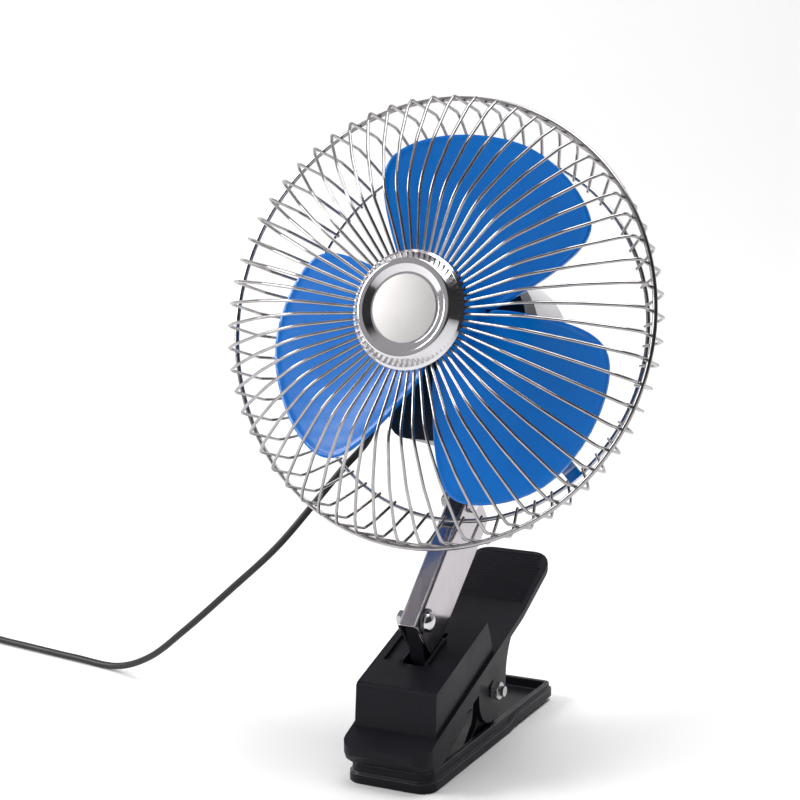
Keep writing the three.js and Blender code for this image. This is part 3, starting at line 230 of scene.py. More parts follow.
@dataclass(frozen=True)
class Plated:
    """Bright or satin metal with faint clouding and rolling marks."""

    name: str
    colour: tuple[float, float, float]
    shade: tuple[float, float, float]
    rough_low: float
    rough_high: float
    grain: float = 260.0
    bump_depth: float = 0.00001
    cloud_share: float = 0.25
    mark_share: float = 9.0
    bump_strength: float = 0.15

    def material(self) -> bpy.types.Material:
        """Build the material."""
        sheet = NodeSheet(self.name)
        cloud = sheet.noise(self.grain * self.cloud_share, 4)
        fine = sheet.noise(self.grain * self.mark_share, 2, (1, 1, 0.25))
        sheet.shader.inputs["Metallic"].default_value = 1
        sheet.join(
            sheet.blend_colour(sheet.span(cloud, 0, 1), self.colour, self.shade),
            sheet.shader.inputs["Base Color"],
        )
        sheet.join(sheet.span(fine, self.rough_low, self.rough_high), sheet.shader.inputs["Roughness"])
        sheet.bump(sheet.noise(self.grain, 2), self.bump_strength, self.bump_depth)
        return sheet.material


@dataclass(frozen=True)
class Moulded:
    """Moulded plastic: a fine spark texture, a slight mottle and uneven gloss."""

    name: str
    colour: tuple[float, float, float]
    worn: tuple[float, float, float]
    rough_low: float
    rough_high: float
    texture: float = 2600.0
    depth: float = 0.00004
    gloss: float = 0.13
    mottle: float = 900.0
    cloud: float = 38.0
    bump_strength: float = 0.35

    def material(self) -> bpy.types.Material:
        """Build the material."""
        sheet = NodeSheet(self.name)
        spark = sheet.noise(self.texture, 2)
        cloud = sheet.noise(self.cloud, 5)
        sheet.join(
            sheet.blend_colour(sheet.span(sheet.noise(self.mottle, 4), 0, 1), self.colour, self.worn),
            sheet.shader.inputs["Base Color"],
        )
        sheet.join(sheet.span(cloud, self.rough_low, self.rough_high), sheet.shader.inputs["Roughness"])
        sheet.bump(spark, self.bump_strength, self.depth)
        sheet.shader.inputs["Specular IOR Level"].default_value = self.gloss
        return sheet.material


@dataclass(frozen=True)
class TintedBlade:
    """Glossy tinted plastic that lets a little light through and is paler at its thin rim."""

    name: str
    colour: tuple[float, float, float]
    deep: tuple[float, float, float]
    roughness: float = 0.16
    gloss: float = 0.4
    see_through: float = 0.12
    glow: float = 0.12
    glow_scale: float = 0.002
    glow_reach: tuple[float, float, float] = (0.1, 0.5, 1.0)
    cloud: float = 22.0
    ripple: float = 90.0
    ripple_strength: float = 0.2
    ripple_depth: float = 0.0001

    def material(self) -> bpy.types.Material:
        """Build the material."""
        sheet = NodeSheet(self.name)
        cloud = sheet.noise(self.cloud, 3)
        sheet.join(
            sheet.blend_colour(sheet.span(cloud, 0, 1), self.colour, self.deep),
            sheet.shader.inputs["Base Color"],
        )
        for name, value in (
            ("Roughness", self.roughness),
            ("Specular IOR Level", self.gloss),
            ("Transmission Weight", self.see_through),
            ("Subsurface Weight", self.glow),
            ("Subsurface Scale", self.glow_scale),
            ("Subsurface Radius", self.glow_reach),
        ):
            sheet.shader.inputs[name].default_value = value
        sheet.bump(sheet.noise(self.ripple, 2), self.ripple_strength, self.ripple_depth)
        return sheet.material


class Finishes:
    """Every finish of the fan, built once."""

    def __init__(self) -> None:
        """Build all the materials."""
        self.chrome = Plated(
            "bright_chrome", (0.66, 0.65, 0.67), (0.60, 0.59, 0.61), 0.07, 0.14
        ).material()
        self.wire = Plated(
            "chromed_wire", (0.47, 0.455, 0.455), (0.33, 0.32, 0.32), 0.10, 0.20, 520
        ).material()
        self.stem = Plated(
            "nickel_strip", (0.48, 0.45, 0.475), (0.44, 0.41, 0.435), 0.16, 0.24, 40, 0.0
        ).material()
        self.disc = Plated(
            "satin_disc", (0.62, 0.607, 0.60), (0.58, 0.565, 0.56), 0.48, 0.60, 300
        ).material()
        # Dark steel for the stem's washer: its darkness is partly a dark washer and partly painted shadow
        # round the screw head.
        self.dark = Plated(
            "blackened_steel", (0.07, 0.07, 0.08), (0.04, 0.04, 0.05), 0.30, 0.45, 420
        ).material()
        self.spring = Plated(
            "spring_wire", (0.62, 0.62, 0.65), (0.50, 0.50, 0.53), 0.16, 0.30, 500
        ).material()
        self.zinc = Plated(
            "zinc_plate", (0.56, 0.555, 0.55), (0.40, 0.395, 0.39), 0.20, 0.36, 420
        ).material()
        self.steel = Plated(
            "drawn_steel", (0.42, 0.43, 0.45), (0.30, 0.31, 0.33), 0.25, 0.45, 420
        ).material()
        self.bronze = Plated(
            "sintered_bronze", (0.52, 0.34, 0.14), (0.38, 0.24, 0.10), 0.4, 0.6, 700
        ).material()
        self.black = Moulded(
            "black_moulding", (0.0075, 0.0071, 0.0105), (0.0095, 0.009, 0.013), 0.34, 0.48
        ).material()
        # Lighter moulding for the jaws' rounded edges: partly wear, partly a painted highlight along each
        # edge.
        self.edge_wear_and_highlight = Moulded(
            "rubbed_edge", (0.024, 0.023, 0.029), (0.038, 0.036, 0.044), 0.26, 0.38, gloss=0.4
        ).material()
        self.housing = Moulded(
            "housing_plastic", (0.008, 0.013, 0.015), (0.011, 0.017, 0.020), 0.26, 0.40, gloss=0.3
        ).material()
        self.rubber = Moulded(
            "soft_rubber", (0.009, 0.009, 0.0095), (0.013, 0.013, 0.0135), 0.6, 0.8, 1800, 0.00006
        ).material()
        self.sheath = Moulded(
            "cord_sheath", (0.008, 0.008, 0.009), (0.012, 0.012, 0.013), 0.32, 0.46, 1500, 0.00002, 0.35
        ).material()
        self.blue = TintedBlade("tinted_blue", (0.001, 0.212, 0.75), (0.0005, 0.175, 0.65)).material()


# ---- Mesh making


class Shop:
    """Makes plain meshes and hands them to the frame."""

    @staticmethod
    def mesh(
        name: str,
        points: Iterable[Point],
        faces: Iterable[Sequence[int]],
        material: bpy.types.Material,
        place: Matrix | None = None,
        smooth_deg: float = 35,
    ) -> bpy.types.Object:
        """Make an object from points and faces, with its place in its mesh.

        Args:
            name: the object's name.
            points: vertices in metres.
            faces: vertex numbers of each face.
            material: its finish.
            place: matrix that its points go through.
            smooth_deg: edges sharper than this stay sharp.

        Returns:
            The new object.
        """
        data = bpy.data.meshes.new(name)
        data.from_pydata([tuple(p) for p in points], [], [tuple(f) for f in faces])
        data.validate()
        if place is not None:
            data.transform(place)
        data.materials.append(material)
        made = bpy.data.objects.new(name, data)
        bpy.context.scene.collection.objects.link(made)
        Shop.outward(made)
        Shop.shade(made, smooth_deg)
        return made

    @staticmethod
    def outward(piece: bpy.types.Object) -> None:
        """Merge doubles and point the faces outwards.

        Args:
            piece: the piece whose mesh is changed.
        """
        form = bmesh.new()
        form.from_mesh(piece.data)
        bmesh.ops.remove_doubles(form, verts=form.verts, dist=1e-6)
        bmesh.ops.recalc_face_normals(form, faces=form.faces)
        form.to_mesh(piece.data)
        form.free()

    @staticmethod
    def shade(piece: bpy.types.Object, degrees: float) -> None:
        """Shade smooth, with edges sharper than an angle kept sharp.

        Args:
            piece: the piece whose mesh is shaded.
            degrees: the angle.
        """
        data = piece.data
        data.polygons.foreach_set("use_smooth", [True] * len(data.polygons))
        data.set_sharp_from_angle(angle=math.radians(degrees))
        data.update()

    @staticmethod
    def plain(piece: bpy.types.Object) -> bpy.types.Object:
        """Turn what a piece's modifiers make into its plain mesh.

        Args:
            piece: the piece, which loses its modifiers.

        Returns:
            The same piece.
        """
        graph = bpy.context.evaluated_depsgraph_get()
        made = bpy.data.meshes.new_from_object(piece.evaluated_get(graph), depsgraph=graph)
        old = piece.data
        piece.modifiers.clear()
        piece.data = made
        bpy.data.meshes.remove(old)
        return piece

    @staticmethod
    def spun(
        name: str,
        profile: Sequence[Point],
        material: bpy.types.Material,
        place: Matrix,
        segments: int = 96,
        smooth_deg: float = 35,
    ) -> bpy.types.Object:
        """Spin a profile of [radius, place] in millimetres about the local Y axis.

        Args:
            name: the object's name.
            profile: closed outline, or one that starts and ends on the axis.
            material: its finish.
            place: matrix from the local frame.
            segments: steps of the turn.
            smooth_deg: edges sharper than this stay sharp.

        Returns:
            The new object.
        """
        points: list[Point] = []
        rows: list[list[int]] = []
        for radius, along in profile:
            if radius < 1e-6:
                rows.append([len(points)] * segments)
                points.append((0, along * MM, 0))
                continue
            row = []
            for i in range(segments):
                angle = 2 * math.pi * i / segments
                row.append(len(points))
                points.append((radius * MM * math.sin(angle), along * MM, radius * MM * math.cos(angle)))
            rows.append(row)
        faces = []
        closed = profile[0][0] > 1e-6
        last = len(rows) if closed else len(rows) - 1
        for k in range(last):
            low, high = rows[k], rows[(k + 1) % len(rows)]
            for i in range(segments):
                j = (i + 1) % segments
                face = list(dict.fromkeys((low[i], low[j], high[j], high[i])))
                if len(face) > 2:
                    faces.append(face)
        return Shop.mesh(name, points, faces, material, place, smooth_deg)

    @staticmethod
    def swept(
        name: str,
        route: Sequence[Point],
        section: Sequence[Point],
        material: bpy.types.Material,
        place: Matrix | None = None,
        lean: Point = (0, 0, 1),
    ) -> bpy.types.Object:
        """Sweep a section along a route, with closed ends and no twist.

        Args:
            name: the object's name.
            route: points in metres.
            section: outline across the route, in metres.
            material: its finish.
            place: matrix that the result goes through.
            lean: the direction that the section's second axis leans to at the start.

        Returns:
            The new object.
        """
        path = np.array([tuple(p) for p in route], dtype=float)
        ways = np.gradient(path, axis=0)
        ways /= np.linalg.norm(ways, axis=1)[:, None]
        up = np.array(lean, dtype=float)
        points: list[Point] = []
        for where, way in zip(path, ways):
            up = up - way * np.dot(up, way)
            up /= np.linalg.norm(up)
            across = np.cross(way, up)
            points.extend(where + across * x + up * y for x, y in section)
        n = len(section)
        ends = [list(range(n))[::-1], [len(points) - n + i for i in range(n)]]
        faces = ends + skin(len(path), n, False)
        return Shop.mesh(name, points, faces, material, place, 50)

    @staticmethod
    def softened(
        node: str,
        name: str,
        material: bpy.types.Material,
        width: float,
        body: Body,
        slot: Slot,
        steps: int = 2,
        shape: Callable[[bmesh.types.BMesh], None] | None = None,
        carve: bpy.types.Object | None = None,
        edge_wear_and_highlight: bpy.types.Material | None = None,
    ) -> bpy.types.Object:
        """Stand a copy of a CAD node in for the node, its edges rounded where the clamped bevel has room.

        Args:
            node: the CAD node.
            name: the new piece's name.
            material: its finish.
            width: bevel width in metres.
            body: the body that it rides on.
            slot: the record's slot of its finish.
            steps: bevel segments.
            shape: moves vertices of the copy before its edges are rounded.
            carve: a form that is cut out of the copy and then removed.
            edge_wear_and_highlight: the finish of its rounded edges, where that differs; on the jaws a
                lighter moulding, partly wear and partly a painted highlight along the edges.

        Returns:
            The new piece.
        """
        source = bpy.data.objects[node] if node in bpy.data.objects else None
        if source is None:
            raise RuntimeError("no CAD node " + node)
        piece = bpy.data.objects.new(name, source.data.copy())
        bpy.context.scene.collection.objects.link(piece)
        form = bmesh.new()
        form.from_mesh(piece.data)
        bmesh.ops.remove_doubles(form, verts=form.verts, dist=2e-6)
        bmesh.ops.dissolve_limit(
            form,
            angle_limit=math.radians(1.5),
            verts=form.verts,
            edges=form.edges,
            use_dissolve_boundaries=False,
        )
        if shape:
            shape(form)
        form.to_mesh(piece.data)
        form.free()
        piece.data.materials.clear()
        piece.data.materials.append(material)
        piece.data.materials.append(edge_wear_and_highlight or material)
        piece.data.polygons.foreach_set("material_index", [0] * len(piece.data.polygons))
        piece.data.polygons.foreach_set("use_smooth", [True] * len(piece.data.polygons))
        if carve:
            cut = piece.modifiers.new("carve", "BOOLEAN")
            cut.operation = "DIFFERENCE"
            cut.solver = "EXACT"
            cut.object = carve
        bevel = piece.modifiers.new("edges", "BEVEL")
        bevel.width = width
        bevel.segments = steps
        bevel.limit_method = "ANGLE"
        bevel.angle_limit = math.radians(28)
        bevel.use_clamp_overlap = True
        # The rounded edges take the second finish; on the jaws it is the lighter moulding that paints a
        # highlight along them, partly wear.
        bevel.material = 1
        even = piece.modifiers.new("even", "WEIGHTED_NORMAL")
        even.weight = 80
        Shop.plain(piece)
        if carve:
            bpy.data.objects.remove(carve)
        Shop.hand_over(piece, body, slot, node)
        return piece

    @staticmethod
    def hand_over(piece: bpy.types.Object, body: Body, slot: Slot, *nodes: str) -> None:
        """Give a piece its body and hide the nodes that it stands for.

        Args:
            piece: the finished piece.
            body: the body that it rides on.
            slot: the record's slot of its finish; not used.
            nodes: CAD nodes that it replaces.
        """
        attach(piece, body.value)
        if nodes:
            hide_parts(*nodes)
        log.info("%s: %d faces on %s", piece.name, len(piece.data.polygons), body.value)


def circle(radius: float, sides: int) -> list[Point]:
    """Return a round section in metres."""
    step = 2 * math.pi / sides
    return [(radius * math.cos(i * step), radius * math.sin(i * step)) for i in range(sides)]


def skin(rows: int, sides: int, closed: bool) -> list[list[int]]:
    """Return the faces between rings of vertices that follow one another.

    Args:
        rows: how many rings there are.
        sides: vertices of each ring.
        closed: whether the last ring joins the first.

    Returns:
        The vertex numbers of each face.
    """
    faces = []
    for k in range(rows if closed else rows - 1):
        low, high = k * sides, (k + 1) % rows * sides
        for i in range(sides):
            j = (i + 1) % sides
            faces.append([low + i, low + j, high + j, high + i])
    return faces


def rounded(corners: Sequence[Point], steps: int = 6) -> list[tuple[float, float]]:
    """Round the corners of an outline.

    Args:
        corners: [x, y, radius] of each corner, in order.
        steps: facets on each arc.

    Returns:
        The outline's points.
    """
    made: list[tuple[float, float]] = []
    count = len(corners)
    for i, (x, y, radius) in enumerate(corners):
        here = Vector((x, y))
        if not radius:
            made.append((x, y))
            continue
        back = (Vector(corners[i - 1][:2]) - here).normalized()
        on = (Vector(corners[(i + 1) % count][:2]) - here).normalized()
        opening = back.angle(on) / 2
        centre = here + (back + on).normalized() * (radius / math.sin(opening))
        start = here + back * (radius / math.tan(opening)) - centre
        end = here + on * (radius / math.tan(opening)) - centre
        sweep = math.atan2(start.cross(end), start.dot(end))
        for k in range(steps + 1):
            arm = start.copy()
            arm.rotate(Matrix.Rotation(sweep * k / steps, 2))
            made.append(tuple(centre + arm))
    return made


class Geometry:
    """A geometry node tree with named inputs, used once and then made plain."""

    def __init__(self, name: str) -> None:
        """Start a tree with a geometry input and output.

        Args:
            name: the tree's name.
        """
        self.tree = bpy.data.node_groups.new(name, "GeometryNodeTree")
        self.tree.interface.new_socket("Geometry", in_out="INPUT", socket_type="NodeSocketGeometry")
        self.tree.interface.new_socket("Geometry", in_out="OUTPUT", socket_type="NodeSocketGeometry")
        self.start = self.tree.nodes.new("NodeGroupInput")
        self.end = self.tree.nodes.new("NodeGroupOutput")
        self.ids: dict[str, str] = {}

    def size(self, name: str, kind: str, value: object) -> bpy.types.NodeSocket:
        """Add a named input.

        Args:
            name: the input's name.
            kind: Float, Int or Material.
            value: its default.

        Returns:
            The input's socket inside the tree.
        """
        made = self.tree.interface.new_socket(name, in_out="INPUT", socket_type="NodeSocket" + kind)
        if kind != "Material":
            made.default_value = value
        self.ids[name] = made.identifier
        return self.start.outputs[name]

    def add(self, kind: str, sockets: dict[str, object] | None = None, **values: object) -> bpy.types.Node:
        """Add a node and feed its inputs.

        Args:
            kind: the node's Blender type.
            sockets: input name to a value or to another node's output.
            values: properties to set on the node.

        Returns:
            The new node.
        """
        node = self.tree.nodes.new(kind)
        for key, value in values.items():
            setattr(node, key, value)
        for key, value in (sockets or {}).items():
            socket = node.inputs[int(key)] if key.isdigit() else node.inputs[key]
            if isinstance(value, bpy.types.NodeSocket):
                self.tree.links.new(value, socket)
            else:
                socket.default_value = value
        return node

    def maths(self, operation: str, first: object, second: object = 0.0) -> bpy.types.NodeSocket:
        """Add a maths node and return its result."""
        return self.add("ShaderNodeMath", {"0": first, "1": second}, operation=operation).outputs[0]

    def finish(
        self, made: bpy.types.NodeSocket, piece: bpy.types.Object, material: bpy.types.Material
    ) -> bpy.types.Object:
        """Realize, set the material, and turn the result into the piece's mesh.

        Args:
            made: the geometry to end with.
            piece: the object that the tree works on.
            material: its finish.

        Returns:
            The piece, plain.
        """
        finish = self.size("Finish", "Material", None)
        real = self.add("GeometryNodeRealizeInstances", {"Geometry": made})
        dressed = self.add(
            "GeometryNodeSetMaterial", {"Geometry": real.outputs["Geometry"], "Material": finish}
        )
        self.tree.links.new(dressed.outputs["Geometry"], self.end.inputs["Geometry"])
        modifier = piece.modifiers.new(self.tree.name, "NODES")
        modifier.node_group = self.tree
        modifier[self.ids["Finish"]] = material
        return Shop.plain(piece)


# ---- Studio


@dataclass
class Studio:
    """Camera, pale floor and soft lamps."""

    azimuth_deg: float = 25.8
    elevation_deg: float = 10.5
    eye: tuple[float, float, float] = (0.3713, -0.8311, 0.3314)
    lens_mm: float = 90.0
    floor_half: float = 4.0
    wall_back: float = 1.9
    wall_high: float = 3.2
    bend: float = 0.7
    bend_steps: int = 12
    floor_grey: float = 0.985
    aim: tuple[float, float, float] = (0, 0, 0.18)
    room_strength: float = 0.9
    dark_side: tuple[float, float, float] = (0.86, -0.50, 0.12)
    room: tuple[tuple[float, float], ...] = (
        (0.0, 0.50),
        (0.35, 0.42),
        (0.62, 0.14),
        (0.8, 0.03),
        (1.0, 0.05),
    )

    def build(self) -> None:
        """Set the camera, floor, lamps and world."""
        self.camera()
        self.floor()
        self.lamps()
        self.world()

    def camera(self) -> None:
        """Stand the camera where the photograph's was."""
        data = bpy.data.cameras.new("photo_camera")
        data.lens = self.lens_mm
        data.sensor_width = 36
        data.sensor_fit = "HORIZONTAL"
        data.clip_start = 0.01
        camera = bpy.data.objects.new("photo_camera", data)
        camera.location = self.eye
        camera.rotation_euler = (
            math.radians(90 - self.elevation_deg),
            0,
            math.radians(self.azimuth_deg),
        )
        bpy.context.scene.collection.objects.link(camera)
        bpy.context.scene.camera = camera

    def floor(self) -> None:
        """Lay a pale floor that bends up into a wall behind the fan."""
        sheet = NodeSheet("pale_floor")
        sheet.shader.inputs["Base Color"].default_value = (*[self.floor_grey] * 3, 1)
        sheet.shader.inputs["Roughness"].default_value = 0.75
        sheet.shader.inputs["Specular IOR Level"].default_value = 0.2
        rows = [(-self.floor_half, 0.0), (self.wall_back - self.bend, 0.0)]
        for i in range(1, self.bend_steps + 1):
            angle = math.pi / 2 * i / self.bend_steps
            rows.append(
                (self.wall_back - self.bend + self.bend * math.sin(angle), self.bend * (1 - math.cos(angle)))
            )
        rows.append((self.wall_back, self.wall_high))
        turn = Matrix.Rotation(math.radians(self.azimuth_deg), 4, "Z")
        points: list[Point] = []
        for y, z in rows:
            points += [(-self.floor_half, y, z), (self.floor_half, y, z)]
        faces = [(2 * i, 2 * i + 1, 2 * i + 3, 2 * i + 2) for i in range(len(rows) - 1)]
        data = bpy.data.meshes.new("studio_floor")
        data.from_pydata(points, [], faces)
        data.transform(turn)
        data.materials.append(sheet.material)
        data.polygons.foreach_set("use_smooth", [True] * len(data.polygons))
        floor = bpy.data.objects.new("studio_floor", data)
        bpy.context.scene.collection.objects.link(floor)

    def lamps(self) -> None:
        """Hang two soft lamps: one at the front left and one overhead."""
        self.lamp("key_softbox", (-1.95, -1.0, 1.25), 1.2, 47)
        self.lamp("top_softbox", (0.35, 0.3, 2.1), 1.4, 32)

    def lamp(self, name: str, where: Point, width: float, power: float) -> None:
        """Hang one square lamp that faces the fan.

        Args:
            name: the lamp's name.
            where: its place in metres.
            width: its side in metres.
            power: its power in watts.
        """
        data = bpy.data.lights.new(name, "AREA")
        data.shape = "SQUARE"
        data.size = width
        data.energy = power
        lamp = bpy.data.objects.new(name, data)
        lamp.location = where
        aim = Vector(self.aim) - Vector(where)
        lamp.rotation_euler = aim.to_track_quat("-Z", "Y").to_euler()
        bpy.context.scene.collection.objects.link(lamp)

    def world(self) -> None:
        """Give the room pale walls with one dark side, so that the chrome has something to show."""
        world = bpy.data.worlds.new("studio_room")
        world.use_nodes = True
        tree = world.node_tree
        ground = tree.nodes["Background"]
        where = tree.nodes.new("ShaderNodeTexCoord")
        towards = tree.nodes.new("ShaderNodeVectorMath")
        towards.operation = "DOT_PRODUCT"
        towards.inputs[1].default_value = Vector(self.dark_side).normalized()
        shade = tree.nodes.new("ShaderNodeMapRange")
        shade.interpolation_type = "SMOOTHSTEP"
        shade.inputs["From Min"].default_value = 0.15
        shade.inputs["From Max"].default_value = 0.85
        ramp = tree.nodes.new("ShaderNodeValToRGB")
        ramp.color_ramp.elements.remove(ramp.color_ramp.elements[1])
        for i, (place, grey) in enumerate(self.room):
            stop = ramp.color_ramp.elements[0] if i == 0 else ramp.color_ramp.elements.new(place)
            stop.position = place
            stop.color = (grey, grey * 0.98, grey, 1)
        tree.links.new(where.outputs["Generated"], towards.inputs[0])
        tree.links.new(towards.outputs["Value"], shade.inputs["Value"])
        tree.links.new(shade.outputs["Result"], ramp.inputs[0])
        tree.links.new(ramp.outputs["Color"], ground.inputs["Color"])
        ground.inputs["Strength"].default_value = self.room_strength
        bpy.context.scene.world = world
        bpy.context.scene.view_settings.view_transform = "Standard"


# ---- Cord


@dataclass
class Lead:
    """The cord from the housing to its plug, its unseen length wound into a coil."""

    finishes: Finishes
    diameter: float = 0.0035
    step: float = 0.0022
    drop_mm: tuple[tuple[float, float, float], ...] = (
        (-48, 4, 138),
        (-60, -2, 122),
        (-75, -5, 103),
        (-92, -8, 82.5),
        (-120, -5, 57),
        (-150, 0, 31),
        (-176, 6, 11),
        (-200, 12, 1),
        (-230, 17, 0),
        (-262, 22, 0),
        (-290, 27, 0),
    )
    gland_side: float = 38.3
    gland_behind: float = 45.0
    gland_below: float = 38.0
    coil_centre: tuple[float, float] = (-330.0, 12.0)
    coil_start_deg: float = 68.0
    coil_radius: float = 27.0
    coil_pitch: float = 4.05
    coil_layer: float = 4.05
    coil_dip: float = 1.2
    turns_in: float = 4.0
    turns_out: float = 3.5
    steps_per_turn: int = 24
    plug_away: float = 46.0
    plug_height: float = 11.6
    fit: float = 0.3
    edges_mm: tuple[float, float, float] = (70.0, 104.5, 178.0)
    relief_start: float = 0.0113
    relief_reach: float = 0.013
    relief_thick: float = 0.0041
    relief_thin: float = 0.0024
    relief_collar: float = 0.0022
    relief_flange: float = 0.0047
    relief_pitch: float = 0.0026
    relief_sides: int = 28
    cord_sides: int = 14
    tie_turn: float = 2.3
    tie_corner: float = 2.6
    tie_half_width: float = 0.0015
    tie_half_thick: float = 0.00035
    tie_wire: float = 0.0006
    tie_twists: float = 3.5
    tie_reach: float = 20.0

    def coil(self) -> list[Vector]:
        """Return the coil's points in the clamp's frame, in millimetres."""
        low = self.diameter / MM / 2 + self.fit
        points: list[Vector] = []

        def put(radius: float, step: float, height: float) -> None:
            """Add a point of the coil.

            Args:
                radius: its distance from the coil's middle.
                step: how many steps round the coil it lies.
                height: its height over the floor.
            """
            angle = math.radians(self.coil_start_deg) + 2 * math.pi * step / self.steps_per_turn
            x = self.coil_centre[0] + radius * math.cos(angle)
            points.append(Vector((x, self.coil_centre[1] + radius * math.sin(angle), height)))

        steps_in = int(self.turns_in * self.steps_per_turn)
        climb = self.steps_per_turn // 2
        inside = self.coil_radius - self.coil_pitch * self.turns_in
        for i in range(steps_in + 1):
            put(self.coil_radius - self.coil_pitch * i / self.steps_per_turn, i, low)
        for i in range(1, climb + 1):
            share = i / climb
            rise = share * share * (3 - 2 * share)
            dip = self.coil_dip * math.sin(math.pi * share)
            put(inside - dip, steps_in + i, low + self.coil_layer * rise)
        for i in range(1, int(self.turns_out * self.steps_per_turn) + 1):
            radius = inside + self.coil_pitch * i / self.steps_per_turn
            put(radius, steps_in + climb + i, low + self.coil_layer)
        return points

    def route(self) -> list[Vector]:
        """Return the whole route in metres, from the gland to the plug."""
        low = self.diameter / MM / 2 + self.fit
        place = ClampPlace().matrix()
        head = HeadPlace().matrix()
        start = [
            head @ (Vector((-self.gland_side, self.gland_behind, -self.gland_below)) * MM),
            head @ (Vector((-self.gland_side - 6.7, self.gland_behind, -self.gland_below)) * MM),
        ]
        drop = [place @ (Vector((x, y, z + low)) * MM) for x, y, z in self.drop_mm]
        coil = [place @ (point * MM) for point in self.coil()]
        way_in = (coil[0] - coil[1]).normalized()
        way_out = (coil[-1] - coil[-2]).normalized()
        reach = self.diameter
        tail = coil[-1] + way_out * self.plug_away * MM
        tail.z = self.plug_height * MM
        end = [
            coil[-1] + way_out * reach,
            coil[-1] + way_out * reach * 3,
            tail - way_out * reach * 2,
            tail - way_out * self.fit * MM,
        ]
        knots = start + drop + [coil[0] + way_in * reach * 3] + coil + end
        return self.even(knots)

    def even(self, knots: Sequence[Vector]) -> list[Vector]:
        """Put evenly spaced points on a smooth curve through knots.

        Args:
            knots: points that the curve passes.

        Returns:
            Points a step apart.
        """
        fine: list[Vector] = []
        padded = [knots[0] * 2 - knots[1], *knots, knots[-1] * 2 - knots[-2]]
        for i in range(1, len(padded) - 2):
            a, b, c, d = padded[i - 1 : i + 3]
            spans = [max((q - p).length, 1e-9) ** 0.5 for p, q in ((a, b), (b, c), (c, d))]
            first = (b - a) / spans[0] - (c - a) / (spans[0] + spans[1]) + (c - b) / spans[1]
            second = (c - b) / spans[1] - (d - b) / (spans[1] + spans[2]) + (d - c) / spans[2]
            first, second = first * spans[1], second * spans[1]
            for k in range(16):
                t = k / 16
                fine.append(
                    b * (2 * t**3 - 3 * t**2 + 1)
                    + first * (t**3 - 2 * t**2 + t)
                    + c * (3 * t**2 - 2 * t**3)
                    + second * (t**3 - t**2)
                )
        fine.append(knots[-1])
        path = np.array([tuple(p) for p in fine])
        far = np.concatenate([[0], np.cumsum(np.linalg.norm(np.diff(path, axis=0), axis=1))])
        marks = np.linspace(0, far[-1], int(far[-1] / self.step))
        return [Vector(p) for p in np.stack([np.interp(marks, far, path[:, k]) for k in range(3)], axis=1)]

    def build(self) -> None:
        """Make the cord as a chain of stretches, with its relief and its tie."""
        route = self.route()
        marks = [0]
        for edge in self.edges_mm:
            marks.append(next(i for i, point in enumerate(route) if point.x < -edge * MM))
        marks.append(len(route) - 1)
        relief = self.relief(route)
        plug = [
            bpy.data.objects[name]
            for name in ("plug_body", "plug_nose", "plug_contact_1", "plug_contact_2", "plug_tip")
        ]
        chain = (
            ("flex_neck", (Body.HEAD, Body.STEM), ("cord_drop",), [relief]),
            ("flex_fall", (Body.STEM, Body.UPPER_JAW), ("cord_drop",), []),
            ("flex_drape", (Body.UPPER_JAW, Body.LOWER_JAW), ("cord_run",), []),
            ("flex", (Body.LOWER_JAW,), ("cord_run", "cord_coil", "cord_end"), [*plug, self.tie()]),
        )
        for (name, bodies, nodes, going), first, last in zip(chain, marks, marks[1:]):
            self.stretch(name, route[first : last + 1], bodies, nodes, going)

    def stretch(
        self,
        name: str,
        route: Sequence[Vector],
        bodies: Sequence[Body],
        nodes: Sequence[str],
        going: Sequence[bpy.types.Object],
    ) -> None:
        """Make one stretch of the cord.

        Args:
            name: the stretch's name.
            route: its centreline in metres.
            bodies: the body that it rides on, or the two that it lies between, in which case it rides on
                neither.
            nodes: the CAD nodes that it stands for.
            going: the pieces on it; not used.
        """
        piece = Shop.swept(name, route, circle(self.diameter / 2, self.cord_sides), self.finishes.sheath)
        Shop.shade(piece, 60)
        if len(bodies) == 2:
            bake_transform(piece)
        else:
            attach(piece, bodies[0].value)
        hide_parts(*nodes)

    def relief(self, route: Sequence[Vector]) -> bpy.types.Object:
        """Make the tapered, ribbed relief that holds the cord at the housing.

        Args:
            route: the cord's centreline in metres.

        Returns:
            The relief.
        """
        way = (route[0] - route[3]).normalized()
        wall = route[0] + way * self.relief_start
        path: list[Vector] = [wall + (route[0] - wall) * k / 24 for k in range(24)]
        far = 0.0
        for a, b in zip(route, route[1:]):
            path.append(a)
            far += (b - a).length
            if far > self.relief_reach:
                break
        fine: list[Vector] = []
        for a, b in zip(path, path[1:]):
            steps = max(1, round((b - a).length / 0.00035))
            fine += [a.lerp(b, k / steps) for k in range(steps)]
        fine.append(path[-1])
        total = sum((b - a).length for a, b in zip(fine, fine[1:]))
        along = 0.0
        radii = []
        for i, point in enumerate(fine):
            along += (point - fine[i - 1]).length if i else 0.0
            share = along / total
            radius = self.relief_thick * (1 - share) + self.relief_thin * share
            collar = along < self.relief_collar
            groove = math.cos(2 * math.pi * along / self.relief_pitch) > 0.25 and 0.12 < share < 0.93
            radii.append(self.relief_flange if collar else radius * (0.80 if groove else 1.0))
        piece = Shop.swept("cord_relief", fine, circle(1.0, self.relief_sides), self.finishes.rubber)
        data = piece.data
        sides = self.relief_sides
        for i, (point, radius) in enumerate(zip(fine, radii)):
            for k in range(sides):
                vertex = data.vertices[i * sides + k]
                vertex.co = point + (vertex.co - point) * radius
        data.update()
        Shop.outward(piece)
        Shop.shade(piece, 30)
        Shop.hand_over(piece, Body.HEAD, Slot.BLACK_RUBBER, "cord_gland")
        return piece

